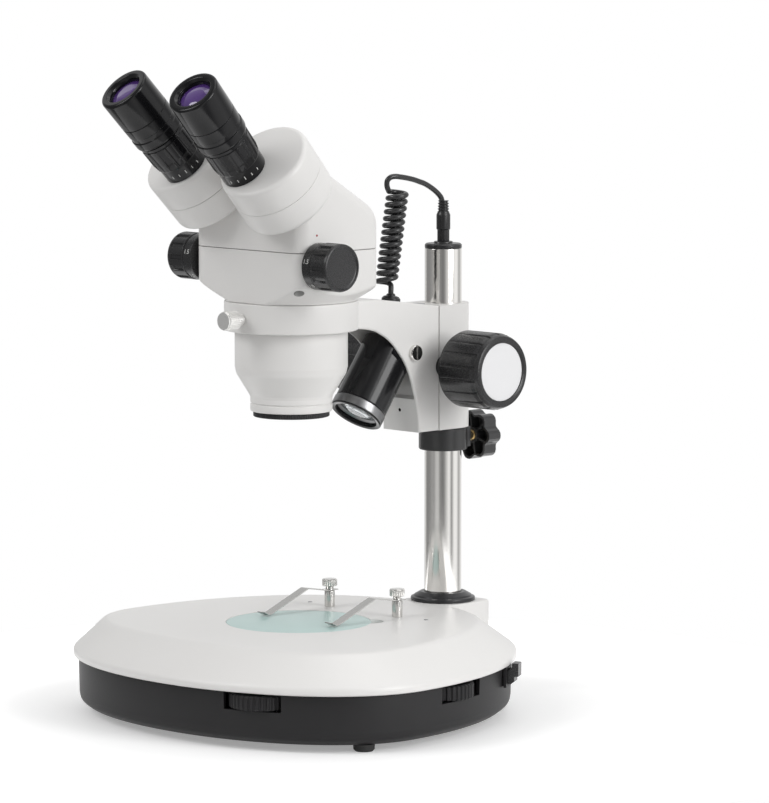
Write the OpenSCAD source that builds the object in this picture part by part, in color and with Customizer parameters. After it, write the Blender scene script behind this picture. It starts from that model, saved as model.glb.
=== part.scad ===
// Stereo microscope on a round pillar stand with transmitted and incident light.
// Millimetres, +Z up, the bench top is z = 0, the user sits on the -Y side.
// The upright at the back carries a collar, a carrier that swivels on it, an arm that
// focuses on the carrier, and a zoom head that turns in the arm's ring.

/* [Base] */
// Width of the base over its rim
base_width = 296; // [246:1:356]
// Depth of the base rim from front to back
base_depth = 283; // [235:1:340]
// Height of the stage surface above the bench
stage_height = 62; // [52:1:76]
// Diameter of the stage glass
glass_diameter = 95.5; // [79:0.5:115]
/* [Stand] */
// Diameter of the pillar
pillar_diameter = 25; // [20.5:0.5:27]
// Height of the top of the pillar above the bench
pillar_top = 301; // [292:1:362]
// Distance from the optical axis back to the pillar's axis
reach = 142; // [134:1:172]
// Height of the collar's underside above the bench
collar_height = 165; // [137:1:172]
/* [Arm] */
// Width of the arm over its cheeks
arm_width = 34.4; // [34:0.2:42]
// Outer diameter of the ring that holds the head
ring_diameter = 87.8; // [84:0.2:92]
// Diameter of the focus knobs at their rear edge
focus_knob_diameter = 51.2; // [42:0.2:60]
// Diameter of the lamp at its lower end
lamp_diameter = 36.4; // [34:0.2:38]
/* [Head] */
// Width of the head over its side faces
head_width = 104; // [98:0.5:124]
// Diameter of the objective barrel
barrel_diameter = 74; // [61:0.5:75]
// Diameter of the zoom knobs
zoom_knob_diameter = 31; // [25:0.5:36]
// Diameter of the prism housings
drum_diameter = 62; // [51:0.5:66]
// Diameter of the eyepieces at the eye end
eyepiece_diameter = 34.4; // [32:0.2:41]
// Length of an eyepiece above its prism housing
eyepiece_length = 72; // [60:0.5:86]
/* [Cord] */
// Diameter of the lamp cord
cord_diameter = 3.7; // [2.8:0.1:4]
// Outer diameter of the curly part of the cord
coil_diameter = 15.6; // [12.6:0.2:18.8]

/* [Hidden] */
$fn = 64;

white = [0.87, 0.87, 0.86];
black = [0.1, 0.1, 0.105];
steel = [0.72, 0.71, 0.69];

// optical axis, pillar axis and glass centre
oy = -28;
py = oy + reach;
gy = oy + 6;
st = stage_height;
// everything on the collar rises and falls with it
cz = collar_height - 165;
aw = arm_width / 2;
pr = pillar_diameter / 2;

// base outline: two superellipse halves that meet at the widest line
by = oy - 27;
rim_a = base_width / 2;
rim_f = base_depth * 98 / 283;
rim_r = base_depth * 185 / 283;
pan_top = st - 24.5;
function spow(v, e) = sign(v) * pow(abs(v), e);
function half_pt(t, a, f, r, nf, nr) =
  [a * spow(cos(t), 2 / (sin(t) < 0 ? nf : nr)),
   (sin(t) < 0 ? f : r) * spow(sin(t), 2 / (sin(t) < 0 ? nf : nr))];
function ring_pts(in, z, n = 84) =
  [for (i = [0:n - 1]) let (p = half_pt(360 * i / n, rim_a - in, rim_f - in, rim_r - in, 2.05, 2))
    [p[0], by + p[1], z]];
// the flat top is a squarer outline than the rim
top_a = rim_a - 26;
top_f = rim_f - 31;
top_r = rim_r - 30;
function top_pts(in, z, n = 84) =
  [for (i = [0:n - 1]) let (p = half_pt(360 * i / n, top_a - in, top_f - in, top_r - in, 2.33, 2.2))
    [p[0], by - 3 + p[1], z]];
// a stack of closed outlines, lowest first, skinned into one solid
module loft(rings) {
  n = len(rings[0]);
  m = len(rings);
  polyhedron(points = [for (r = rings) each r],
    faces = concat([[for (i = [0:n - 1]) i]],
      [for (k = [0:m - 2]) for (i = [0:n - 1]) [k * n + i, (k + 1) * n + i, (k + 1) * n + (i + 1) % n]],
      [for (k = [0:m - 2]) for (i = [0:n - 1]) [k * n + i, (k + 1) * n + (i + 1) % n,
          k * n + (i + 1) % n]],
      [[for (i = [n - 1:-1:0]) (m - 1) * n + i]]));
}
// a point on the pan's outer wall and the direction it faces, from its angle round the base
function wall_pt(t, in) = let (p = half_pt(t, rim_a - in, rim_f - in, rim_r - in, 2.05, 2)) [p[0],
    by + p[1]];
function wall_dir(t) = let (a = wall_pt(t - 0.5, 3.5), b = wall_pt(t + 0.5, 3.5)) atan2(b[1] - a[1],
    b[0] - a[0]) - 90;
// local +X faces out of the wall
module on_wall(t, z) {
  p = wall_pt(t, 3.5);
  translate([p[0], p[1], z]) rotate([0, 0, wall_dir(t)]) children();
}
front_t = -59;
side_t = 14;
switch_t = 37;
inlet_t = 107;
wheel_r = 22;
wheel_in = 17.5;
wheel_z = pan_top - 11.2;
function wheel_c(t) = let (p = wall_pt(t, 3.5), a = wall_dir(t)) [p[0] - wheel_in * cos(a),
    p[1] - wheel_in * sin(a)];
foot_xy = [for (x = [1, -1]) each [[x * rim_a * 124 / 148, by - rim_f * 29 / 98],
  [x * rim_a * 80 / 148, by + rim_r * 131 / 185]]];
post_xy = [for (x = [1, -1]) each [[x * rim_a * 44 / 148, by - rim_f * 48 / 98],
  [x * rim_a * 82 / 148, by + rim_r * 87 / 185]]];
top_screw_xy = [[55, oy + 70], [-55, oy + 70]];
clip_x = 32;
clip_y = oy + 66;

module rod(r, a, b) {
  translate([0, 0, a]) cylinder(r = r, h = b - a);
}
module along_x() rotate([0, 90, 0]) children();
module along_y() rotate([-90, 0, 0]) children();
// a side view drawn as [y, z], made w wide and centred on x = 0
module side_view(pts, w) {
  rotate([90, 0, 90]) translate([0, 0, -w / 2]) linear_extrude(w) polygon(pts);
}
// a plan view rectangle with arc corners
function rr(x0, x1, y0, y1, r, n = 8) = concat(
  [for (i = [0:n]) [x1 - r + r * cos(90 * i / n), y1 - r + r * sin(90 * i / n)]],
  [for (i = [0:n]) [x0 + r - r * sin(90 * i / n), y1 - r + r * cos(90 * i / n)]],
  [for (i = [0:n]) [x0 + r - r * cos(90 * i / n), y0 + r - r * sin(90 * i / n)]],
  [for (i = [0:n]) [x1 - r + r * sin(90 * i / n), y0 + r - r * cos(90 * i / n)]]);
// a fluted outline: n flat lands with narrow grooves of depth d between them
function flutes(n, r, d, w) = [for (i = [0:n - 1]) for (k = [[-w, 0], [w, 0], [w + 1.5, d],
    [360 / n - w - 1.5, d]])
  let (a = 360 * i / n + k[0]) (r - k[1]) * [cos(a), sin(a)]];
function lobes(n, r, d, m = 8) = [for (i = [0:n * m - 1]) let (a = 360 * i / (n * m))
  (r - d * pow(abs(sin(n * a / 2)), 3)) * [cos(a), sin(a)]];
// a round cord swept along points in the plane x = 0
module cord(pts, d) {
  m = len(pts);
  tan = [for (i = [0:m - 1]) let (a = pts[max(i - 1, 0)], b = pts[min(i + 1, m - 1)],
      v = b - a) v / norm(v)];
  loft([for (i = [0:m - 1]) [for (k = [0:7]) let (c = cos(45 * k) * d / 2, s = sin(45 * k) * d / 2)
    [c, pts[i][0] - tan[i][1] * s, pts[i][1] + tan[i][0] * s]]]);
}

// ---------------------------------------------------------------- base
module base_cover() color(white) {
  difference() {
    union() {
      difference() {
        loft([ring_pts(0.8, pan_top), ring_pts(0, pan_top + 1), ring_pts(0, pan_top + 3.6),
          ring_pts(1.4, pan_top + 5.2), top_pts(-0.6, st - 0.5), top_pts(0, st)]);
        loft([ring_pts(3.2, pan_top - 1), ring_pts(3.2, pan_top + 3), top_pts(2.6, st - 3.4),
            top_pts(3, st - 3)]);
      }
      translate([-22, py - 24, pan_top]) cube([44, 47.5, st - pan_top]);
      for (p = post_xy) translate([p[0], p[1], 7]) cylinder(r = 4.5, h = st - 9);
    }
    translate([0, gy, st - 5.1]) cylinder(r = glass_diameter / 2 + 0.15, h = 9);
    translate([0, gy, st - 9]) cylinder(r = glass_diameter / 2 - 3.5, h = 9);
    // finger notch to lift the glass
    translate([34, gy + 34, st - 3.2]) cylinder(r = 8, h = 5);
    translate([0, py, 43]) cylinder(r = pr + 0.05, h = st);
    translate([0, py, 30]) cylinder(r = 4.1, h = 20);
    for (s = [-1, 1]) translate([s * clip_x, clip_y, st - 9]) cylinder(r = 2.02, h = 12);
    for (p = top_screw_xy) translate([p[0], p[1], st - 9]) cylinder(r = 1.52, h = 12);
    for (p = post_xy) translate([p[0], p[1], 6]) cylinder(r = 1.52, h = 14);
  }
}
module base_pan() color(black) difference() {
  loft([ring_pts(9.5, 5), ring_pts(6.6, 6.6), ring_pts(4.6, 9.4), ring_pts(4, 12.5), ring_pts(3.5,
      pan_top - 0.2)]);
  loft([ring_pts(8.2, 7.6), ring_pts(7.4, 12.6), ring_pts(6.4, pan_top + 2)]);
  loft([ring_pts(13, 4), ring_pts(13, 8)]);
  on_wall(front_t, wheel_z - 0.6) translate([-8, -20, 0]) cube([16, 40, 20]);
  on_wall(side_t, wheel_z - 0.6) translate([-8, -22, 0]) cube([16, 44, 20]);
  on_wall(switch_t, pan_top - 13) translate([-8, -6.6, 0]) cube([16, 13.2, 12.2]);
  on_wall(inlet_t, pan_top - 13) translate([-12, 0, 0]) along_x() cylinder(r = 6.05, h = 20);
}
module bottom_plate() color([0.35, 0.35, 0.36]) difference() {
  loft([ring_pts(13.3, 5), ring_pts(13.3, 6.5)]);
  for (p = post_xy) translate([p[0], p[1], 3]) cylinder(r = 1.7, h = 6);
  for (p = foot_xy) translate([p[0], p[1], 3]) cylinder(r = 2.02, h = 6);
  for (x = [-1:2:1]) for (k = [-3:3]) translate([x * 72, oy + 4 + k * 6, 3]) cylinder(r = 1.5, h = 6);
}
// four rubber feet with a stem pressed through the plate
module feet() color([0.08, 0.08, 0.08]) for (p = foot_xy) translate([p[0], p[1], 0]) {
  rotate_extrude() polygon([[0, 0], [5.6, 0], [6.8, 1.2], [7, 4.7], [2, 4.7], [2, 6.8], [2.6, 6.9],
      [2.2, 8.2], [0, 8.2]]);
}
// four screws from below into the cover's posts, two small ones in its top, the bolt under the pillar
module case_screws() color(steel) {
  translate([0, py, 0]) difference() {
    rotate_extrude() polygon([[0, 31.8], [6, 31.8], [6.5, 32.3], [6.5, pan_top - 0.1], [3.35,
        pan_top - 0.1], [3.35, 56], [0, 57]]);
    translate([0, 0, 30]) cylinder(r = 3, h = 5, $fn = 6);
  }
  for (p = post_xy) translate([p[0], p[1], 0]) difference() {
    rotate_extrude() polygon([[0, 3], [2.4, 3], [3, 3.5], [3, 4.9], [1.5, 4.9], [1.5, 17], [0, 17.6]]);
    translate([-0.5, -0.5, 2]) cube([1, 1, 2]);
  }
  for (p = top_screw_xy) translate([p[0], p[1], 0]) difference() {
    rotate_extrude() polygon([[0, st - 7], [1.5, st - 7], [1.5, st + 0.1], [1.3, st + 0.3], [0,
        st + 0.3]]);
    translate([-0.3, -2, st - 0.2]) cube([0.6, 4, 1]);
  }
}
module stage_glass() color([0.72, 0.9, 0.88, 0.6]) translate([0, gy, 0])
  rotate_extrude($fn = 96) polygon([[0, st - 5], [glass_diameter / 2 - 0.6, st - 5],
      [glass_diameter / 2, st - 4.4],
    [glass_diameter / 2, st - 0.6], [glass_diameter / 2 - 0.6, st], [0, st]]);
// post with a thin neck for the blade and a knurled head
module clip_posts() color(steel) for (s = [-1, 1]) translate([s * clip_x, clip_y, 0]) {
  rotate_extrude() polygon([[0, st - 7], [2, st - 7], [2, st + 0.02], [3.5, st + 0.02], [3.5,
      st + 10.7], [2.7, st + 11],
    [2.7, st + 13.4], [3.4, st + 13.8], [0, st + 13.8]]);
  translate([0, 0, st + 13.7]) linear_extrude(4.6) polygon(flutes(24, 5, 0.35, 3));
  rod(4.4, st + 18.2, st + 18.8);
}
// spring blade: flat at the post, a long slope, an upturned tip on the glass
module clip_blade(s) {
  w = 7.5;
  translate([s * clip_x, clip_y, st]) difference() {
    union() {
      rotate([90, 0, 90]) translate([0, 0, -w / 2]) linear_extrude(w) polygon([[4.6, 11.1], [-4, 11.1],
          [-23, 14.4], [-57.6, 0.7],
        [-59.6, 0.6], [-63.4, 2.6], [-63.1, 3.2], [-59.4, 1.3], [-57.8, 1.4], [-23, 15.2], [-4, 11.9],
            [4.6, 11.9]]);
    }
    translate([0, 0, 5]) cylinder(r = 2.78, h = 12);
  }
}
module clip_blade_left() color(steel) clip_blade(-1);
module clip_blade_right() color(steel) clip_blade(1);
// white reflector cup with its lamp disc under the glass
module light_cup() color([0.92, 0.92, 0.9]) translate([0, gy, 0]) {
  rc = glass_diameter / 2 - 4.6;
  rotate_extrude() polygon([[0, 6.8], [rc - 5, 6.8], [rc, 13], [rc, st - 5.6], [rc - 1.6, st - 5.6],
      [rc - 1.6, 13.6],
    [rc - 5.8, 8.6], [17, 8.6], [17, 10.2], [15.4, 10.6], [15.4, 12], [0, 12.6]]);
}
// one board that carries the power parts and the two dimmer controls
module driver_board() color([0.12, 0.33, 0.2]) {
  a = wheel_c(front_t);
  b = wheel_c(side_t);
  translate([0, 0, 12.6]) linear_extrude(1.6) polygon([[a[0] - 13, a[1] - 6], [a[0] + 8, a[1] - 9.5],
      [b[0] + 11, b[1] - 8],
    [b[0] + 8, b[1] + 13], [b[0] - 15, b[1] + 10], [a[0] - 15, a[1] + 16]]);
  for (c = [a, b]) translate([c[0], c[1], 0]) {
    rod(8, 14.1, wheel_z - 1.4);
    rod(3, 14.1, wheel_z + 7);
    rod(2.4, 6.7, 12.7);
  }
  translate([b[0] - 18, b[1] - 34, 14.1]) cube([16, 12, 11]);
  translate([b[0] - 30, b[1] - 60, 14.1]) cube([12, 16, 8]);
  translate([a[0] + 12, a[1] + 22, 14.1]) cylinder(r = 5, h = 12);
}
// ribbed thumb wheel of a dimmer
module dimmer(t) {
  c = wheel_c(t);
  translate([c[0], c[1], wheel_z]) difference() {
    union() {
      linear_extrude(9.6) polygon(flutes(38, wheel_r, 0.9, 1.6));
    }
    translate([0, 0, -1]) cylinder(r = 3.05, h = 8.6);
    translate([0, 0, 8.4]) cylinder(r = 14, h = 3);
  }
}
module front_dimmer() color(black) dimmer(front_t);
module side_dimmer() color(black) dimmer(side_t);
// snap-in switch body with a collar outside the wall
module switch_frame() color(black) on_wall(switch_t, pan_top - 7) difference() {
  union() {
    translate([0.7, -8, -6.6]) cube([1.9, 16, 13.3]);
    translate([-16, -6.4, -5.9]) cube([18, 12.8, 11.9]);
    for (y = [-4, 0, 4]) translate([-22, y - 0.4, -2.4]) cube([7, 0.8, 4.8]);
  }
  translate([-6, -5, -5.2]) cube([10, 10, 10.4]);
  translate([0, -7, 0]) along_y() cylinder(r = 1.25, h = 14);
}
module switch_rocker() color([0.07, 0.07, 0.07]) on_wall(switch_t, pan_top - 7) {
  rotate([90, 0, 0]) translate([0, 0, -4.7]) linear_extrude(9.4)
    polygon([[-2.2, -1.6], [1.6, -4.4], [5, -4.6], [7.2, -3], [7.2, 0.2], [9.8, 0.4], [10, 9], [5.6, 9.2],
      [5.4, 4.6], [1.6, 4.4], [-2.2, 1.6]]);
  translate([0, -5.6, 0]) along_y() cylinder(r = 1.2, h = 11.2);
}
module power_inlet() color([0.05, 0.05, 0.05]) on_wall(inlet_t, pan_top - 13) difference() {
  union() {
    translate([0.5, 0, 0]) along_x() cylinder(r = 8, h = 1.8);
    translate([-13, 0, 0]) along_x() cylinder(r = 6, h = 14);
  }
  difference() {
    translate([-8, 0, 0]) along_x() cylinder(r = 3.1, h = 14);
    translate([-9, 0, 0]) along_x() cylinder(r = 1, h = 10.6);
  }
}

// ---------------------------------------------------------------- pillar
module pillar() color(steel) translate([0, py, 0]) difference() {
  union() {
    rod(pr - 0.6, 43.2, pillar_top);
    rod(pr, 44, pillar_top - 0.6);
  }
  rod(pr - 2.5, 60, pillar_top + 2);
  rod(3.4, 40, 62);
}
module pillar_flange() color([0.2, 0.2, 0.21]) translate([0, py, 0]) rotate_extrude($fn = 96)
  polygon([[pr + 0.04, st + 0.02], [21.7, st + 0.02], [21.9, st + 1.2], [21.2, st + 2.4], [19.8,
      st + 2.7],
    [19.4, st + 3.4], [15.6, st + 5.8], [14.9, st + 6], [pr + 0.04, st + 6]]);
module pillar_cap() color(black) translate([0, py, pillar_top]) difference() {
  union() {
    rotate_extrude() polygon([[0, -9], [pr - 2.54, -9], [pr - 2.54, 0.05], [pr, 0.05], [pr, 2.4],
        [pr - 0.9, 3.3],
      [6.4, 3.3], [6.2, 4.6], [0, 4.6]]);
  }
  rod(2.8, -6, 8);
}
module cord_plug() color(black) translate([0, py, pillar_top]) {
  // the pin sits in the socket, the body above it ends in a ribbed strain relief
  rotate_extrude() polygon([[0, -5], [2.75, -5], [2.75, 4.7], [4.1, 4.7], [4.1, 12.2], [4.7, 12.8],
      [4.7, 22.6], [3.9, 24.2], [3.9, 24.8], [3.2, 25], [3.2, 25.7], [3.85, 25.9], [3.85, 27.2],
      [3.1, 27.4], [3.1, 28.1], [3.8, 28.3], [3.8, 29.6], [3.05, 29.8], [3.05, 30.4], [3.7, 30.6],
      [3.6, 31.6], [3.4, 32], [0, 32]]);
}

// cord: round numbers [y, z] from the arm's grommet up the coil and over to the plug
gr_y = py - 50;
tail_pts = [[gr_y, 273.34 + cz], [gr_y, 274.1 + cz], [gr_y + 0.12, 274.96 + cz], [gr_y + 0.28,
    275.85 + cz]];
front_pts = [[gr_y + 1.1, 344.42 + cz], [gr_y + 1.27, 345.36 + cz], [gr_y + 0.8, 347.2 + cz],
  [gr_y + 1.3, 349 + cz], [gr_y + 3.4, 350.6 + cz], [gr_y + 7, 350.9 + cz], [gr_y + 12, 350.2 + cz],
  [gr_y + 17, 349.3 + cz], [gr_y + 22, 348.2 + cz], [gr_y + 27, 346.7 + cz]];
up = pillar_top - 301;
rear_pts = [[gr_y + 27, 346.7 + cz], [gr_y + 31, 345.5 + cz], [gr_y + 35, 343.8 + up],
  [py - 11, 341.7 + up], [py - 7.6, 339.5 + up], [py - 4.6, 337.6 + up], [py - 2.2, 335.9 + up],
  [py - 1.4, 334.6 + up], [py - 1.4, 333.03 + up]];
module cord_arc_rear() color(black) cord(rear_pts, cord_diameter);
module cord_arc_front() color(black) cord(front_pts, cord_diameter);
module cord_coil() color(black) translate([0, gr_y - 4.9, 276.8 + cz]) rotate([-10.1, 0, 0])
  cylinder(d = coil_diameter, h = 67.6);
module cord_tail() color(black) cord(tail_pts, cord_diameter);
module cord_grommet() color(black) translate([0, gr_y, cz]) {
  // the flange lies on the arm's sloping back, the stem fills the hole below it
  translate([0, 0, 268.31]) rotate([-8, 0, 0]) rotate_extrude()
    polygon([[0, 0.06], [6.3, 0.06], [6.3, 1.6], [5.2, 3], [3.4, 3.7], [0, 3.7]]);
  rod(3.4, 262.6, 269.4);
  rotate_extrude() polygon([[0, 269], [3, 269], [3, 272.6], [2.4, 273.3], [0, 273.3]]);
}

// ---------------------------------------------------------------- collar and carrier
module collar() color([0.13, 0.13, 0.14]) translate([0, py, cz]) difference() {
  union() {
    rod(aw - 0.7, 165.6, 179.4);
    rod(aw - 1.2, 165, 180.2);
    translate([-7, 0, 165.6]) cube([14, aw + 2.4, 13.8]);
  }
  rod(pr + 0.05, 160, 190);
  // the split that lets the collar grip
  translate([-30, -0.8, 160]) cube([30, 1.6, 30]);
  translate([0, 5, 172]) along_y() cylinder(r = 3.05, h = 20);
}
// star knob, hollow and ribbed on the side that faces the collar
module clamp_knob() color([0.09, 0.09, 0.095]) translate([0, py, cz + 172]) along_y() difference() {
  translate([0, 0, 27.4]) linear_extrude(11.2) polygon(lobes(7, 17, 3));
  difference() {
    translate([0, 0, 26]) linear_extrude(10) polygon(lobes(7, 15.2, 2.6));
    rod(5.4, 25, 37);
    for (a = [0:60:300]) rotate([0, 0, a + 20]) translate([0, -0.6, 28.6]) cube([18, 1.2, 9]);
  }
  rod(3.7, 25, 34);
}
module clamp_screw() color([0.78, 0.62, 0.34]) translate([0, py, cz + 172]) along_y()
  rotate_extrude() polygon([[0, pr + 0.1], [2.4, pr + 0.1], [3, pr + 0.8], [3, 27.2], [3.66, 27.2],
      [3.66, 33.9], [0, 33.9]]);

// seam between carrier and arm, focus shaft in the carrier, rack on the arm
sy = py - 21;
shaft_y = py - 17.3;
shaft_z = 223.5 + cz;
car_lo = 180.5 + cz;
car_hi = 264.4 + cz;
module carrier() color(white) difference() {
  union() {
    translate([0, py, 0]) rod(aw, car_lo, car_hi);
    translate([-aw, sy + 0.15, car_lo]) cube([2 * aw, 21, car_hi - car_lo]);
    // two dovetail rails that the arm slides on
    for (s = [-1, 1]) scale([s, 1, 1]) translate([0, 0, car_lo])
      linear_extrude(car_hi - car_lo) polygon([[5.6, sy + 1], [5.6, sy - 6.6], [12.8, sy - 6.6], [9.6,
          sy - 0.2], [9.6, sy + 1]]);
  }
  translate([0, py, 0]) rod(pr + 0.04, 150 + cz, 300 + cz);
  translate([-5.2, sy - 1, car_lo - 1]) cube([10.4, 2.2, car_hi - car_lo + 2]);
  translate([-5.4, shaft_y, shaft_z]) along_x() cylinder(r = 4.9, h = 10.8);
  translate([-aw - 1, shaft_y, shaft_z]) along_x() cylinder(r = 3.06, h = 2 * aw + 2);
  for (s = [-1, 1]) translate([s * (aw - 2.5) - 4, shaft_y, shaft_z]) along_x() cylinder(r = 5.06, h = 8);
}
// involute pinion, 12 teeth, module 0.6
mod = 0.6;
pin_n = 12;
pin_r = mod * pin_n / 2;
pin_b = pin_r * cos(20);
function inv_pt(r, q) = let (al = acos(min(1, pin_b / r)),
    th = tan(al) * 180 / PI - al) [r * cos(q + th), r * sin(q + th)];
function inv_ref() = tan(20) * 180 / PI - 20;
tooth_half = 90 / pin_n - 0.9;
function tooth(i) = let (c = 360 * i / pin_n, rs = [pin_b + 0.01, pin_b + 0.1, pin_r, pin_r + 0.3,
    pin_r + 0.55])
  concat([(pin_r - 0.72) * [cos(c - tooth_half - inv_ref()), sin(c - tooth_half - inv_ref())]],
    [for (r = rs) inv_pt(r, c - tooth_half - inv_ref())],
    [for (k = [4:-1:0]) let (p = inv_pt(rs[k], 0), a = atan2(p[1], p[0]),
        e = c + tooth_half + inv_ref() - a) rs[k] * [cos(e), sin(e)]],
    [(pin_r - 0.72) * [cos(c + tooth_half + inv_ref()), sin(c + tooth_half + inv_ref())]]);
module pinion_shaft() color(steel) translate([0, shaft_y, shaft_z]) {
  translate([-70, 0, 0]) along_x() cylinder(r = 2.2, h = 140);
  translate([-35.2, 0, 0]) along_x() cylinder(r = 3, h = 29.2);
  translate([6, 0, 0]) along_x() cylinder(r = 3, h = 29.2);
  translate([-5, 0, 0]) along_x() rotate([0, 0,
      90]) linear_extrude(10) polygon([for (i = [0:pin_n - 1]) each tooth(i)]);
}
module shaft_bushings() color([0.16, 0.16, 0.17]) for (s = [-1, 1]) scale([s, 1, 1]) translate([0,
    shaft_y, shaft_z]) difference() {
  union() {
    translate([aw - 5.4, 0, 0]) along_x() cylinder(r = 5, h = 8);
    translate([aw + 0.1, 0, 0]) along_x() cylinder(r = 7.4, h = 5);
    translate([aw + 5, 0, 0]) along_x() cylinder(r = 6.4, h = 35 - aw - 5);
  }
  along_x() cylinder(r = 3.04, h = 60);
  // the hub is cut back where the arm slides past it
  translate([aw - 6, sy + 0.3 - shaft_y - 10, -10]) cube([6.05, 10, 20]);
}
fk = focus_knob_diameter / 2;
module focus_knob(s) translate([0, shaft_y, shaft_z]) scale([s, 1, 1]) along_x() difference() {
  union() {
    rod(fk - 1.2, 35.4, 38.2);
    translate([0, 0, 38]) linear_extrude(28.4) polygon(flutes(18, fk, 1, 4.2));
    rod(fk - 1.6, 66.2, 69);
    rotate_extrude() polygon([[0, 66], [fk - 1, 66], [fk - 1, 69.6], [fk - 2.2, 71.6], [fk - 4, 72.1],
        [fk - 6.2, 71.6], [fk - 6.2, 70.6], [0, 70.6]]);
  }
  rod(2.25, 30, 72);
  rod(9, 30, 37.4);
  rod(fk - 6.2, 70, 75);
}
module focus_knob_right() color(black) focus_knob(1);
module focus_knob_left() color(black) focus_knob(-1);
module focus_discs() color([0.93, 0.93, 0.93]) for (s = [-1, 1]) translate([0, shaft_y,
    shaft_z]) scale([s, 1, 1]) along_x()
  rod(fk - 6.3, 70.05, 71.2);

// ---------------------------------------------------------------- arm
rr_out = ring_diameter / 2;
ring_in = 38.05;
function ay(v) = py - 142 + v;
// the underside arch is three flat bends turned into a smooth curve
arch = [[oy + 36, 252.5], [ay(43.8), 253.8], [ay(58.1), 251.9], [ay(66), 248.9], [ay(72.4), 245.3],
    [ay(78), 240.8],
  [ay(83), 235.2], [ay(87.3), 230], [ay(90.9), 224.3], [ay(94), 217.6], [ay(96.2), 210.8], [ay(98.6),
      203.6],
  [ay(100.2), 196.3], [ay(101.2), 189.6], [ay(101.5), 183], [ay(101.5), 180.5]];
arm_top = [[sy - 0.15, 264.2], [ay(102.8), 266.8], [ay(87.1), 269], [ay(63.7), 272.2], [oy + 44.6,
    272.6], [oy + 36, 272.6]];
pocket = [[ay(50), 212], [ay(93), 202], [ay(100.5), 207.5], [ay(111.5), 226], [ay(111.5), 250],
    [ay(104), 259.6], [ay(52), 259.6]];
piv_y = ay(97.1);
piv_z = 234.5 + cz;
module arm() color(white) translate([0, 0, cz]) difference() {
  union() {
    difference() {
      side_view(concat(arch, [[sy - 0.15, 180.5]], arm_top), 2 * aw);
      side_view(pocket, 2 * aw - 3.6);
    }
    translate([0, oy, 0]) rotate_extrude($fn = 96) polygon([[30, 255.8], [rr_out - 0.8, 255.8],
        [rr_out, 256.6], [rr_out, 274.2],
      [rr_out - 0.8, 275], [30, 275]]);
  }
  translate([0, oy, 200]) cylinder(r = ring_in, h = 100, $fn = 96);
  // dovetail groove for the carrier's rails
  translate([0, 0, 170]) linear_extrude(110) polygon([[-9.75, sy + 1], [-9.75, sy - 0.12], [-13,
      sy - 6.8], [13, sy - 6.8], [9.75, sy - 0.12], [9.75, sy + 1]]);
  translate([-20, piv_y, piv_z - cz]) along_x() cylinder(r = 2.05, h = 40);
  for (s = [-1, 1]) translate([s * (aw + 0.9), piv_y, piv_z - cz]) along_x() cylinder(r = 5.4, h = 3.4,
      center = true);
  translate([0, gr_y, 255]) cylinder(r = 3.45, h = 30);
  translate([0, oy - 50, 265]) along_y() cylinder(r = 3.05, h = 20);
  translate([0, ay(100), 194.7]) along_y() cylinder(r = 1.2, h = 9);
}
rack_n = 44;
rack_p = mod * PI;
rk_y = shaft_y - pin_r;
rk_z0 = shaft_z - (rack_n / 2) * rack_p;
module rack() color(steel) side_view(concat([[sy - 6.75, rk_z0 - 0.4], [rk_y - 0.75, rk_z0 - 0.4]],
  [for (i = [0:rack_n - 1]) for (k = [[-0.75, -0.668], [0.55, -0.195], [0.55, 0.195], [-0.75, 0.668]])
    [rk_y + k[0], rk_z0 + (i + 0.5) * rack_p + k[1]]],
  [[rk_y - 0.75, rk_z0 + rack_n * rack_p + 0.2], [sy - 6.75, rk_z0 + rack_n * rack_p + 0.2]]), 8);
// knurled thumb screw at the front of the ring
module ring_screw() color([0.8, 0.8, 0.79]) translate([0, oy, 265 + cz]) rotate([90, 0, 0]) union() {
  rotate_extrude() polygon([[0, 38.2], [2.2, 38.2], [3, 39], [3, 45.6], [4, 45.8], [4, 50], [0, 50]]);
  translate([0, 0, 49.9]) linear_extrude(9.6) polygon(flutes(28, 6.2, 0.35, 2.6));
  rod(5.6, 59.4, 60.8);
}

// ---------------------------------------------------------------- lamp
lamp_a = 35.9;
lamp_r = lamp_diameter / 2;
// tube inside the arm's cheeks, and its bore
lamp_u = aw - 2.1;
lamp_b = lamp_u - 0.9;
lamp_o = [0, ay(58.9), 193.9 + cz];
// local +Z runs from the lamp's mouth up into the arm
module lamp_frame() translate(lamp_o) rotate([-lamp_a, 0, 0]) children();
module lamp_barrel() color([0.1, 0.1, 0.11]) difference() {
  union() {
    lamp_frame() difference() {
      rotate_extrude() polygon([[0, 7.6], [lamp_r - 0.7, 7.6], [lamp_r - 0.4, 8.2], [lamp_r - 0.4, 54],
          [lamp_u - 0.2, 56.5], [lamp_u - 0.2, 60], [lamp_u - 1.5, 61.6], [0, 61.6]]);
      rod(lamp_b, 5, 38);
      // flats where the tube runs between the cheeks
      for (s = [-1, 1]) scale([s, 1, 1]) translate([lamp_u - 0.1, -30, 37.5]) cube([20, 60, 30]);
    }
    // two ears that take the pivot screws
    for (s = [-1, 1]) translate([s * (lamp_u - 4), piv_y, piv_z]) along_x()
      cylinder(r = 4.6, h = 8, center = true);
  }
  translate([-20, piv_y, piv_z]) along_x() cylinder(r = 1.98, h = 40);
}
module lamp_ring() color([0.12, 0.12, 0.13]) lamp_frame() rotate_extrude()
  polygon([[lamp_b + 0.7, 0.4], [lamp_r - 0.5, 0], [lamp_r, 0.6], [lamp_r, 6.8], [lamp_r - 0.5, 7.4],
      [lamp_b - 0.1, 7.4], [lamp_b - 0.1, 11], [lamp_b - 1, 11], [lamp_b - 1, 3.4],
      [lamp_b + 0.7, 3.4]]);
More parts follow.
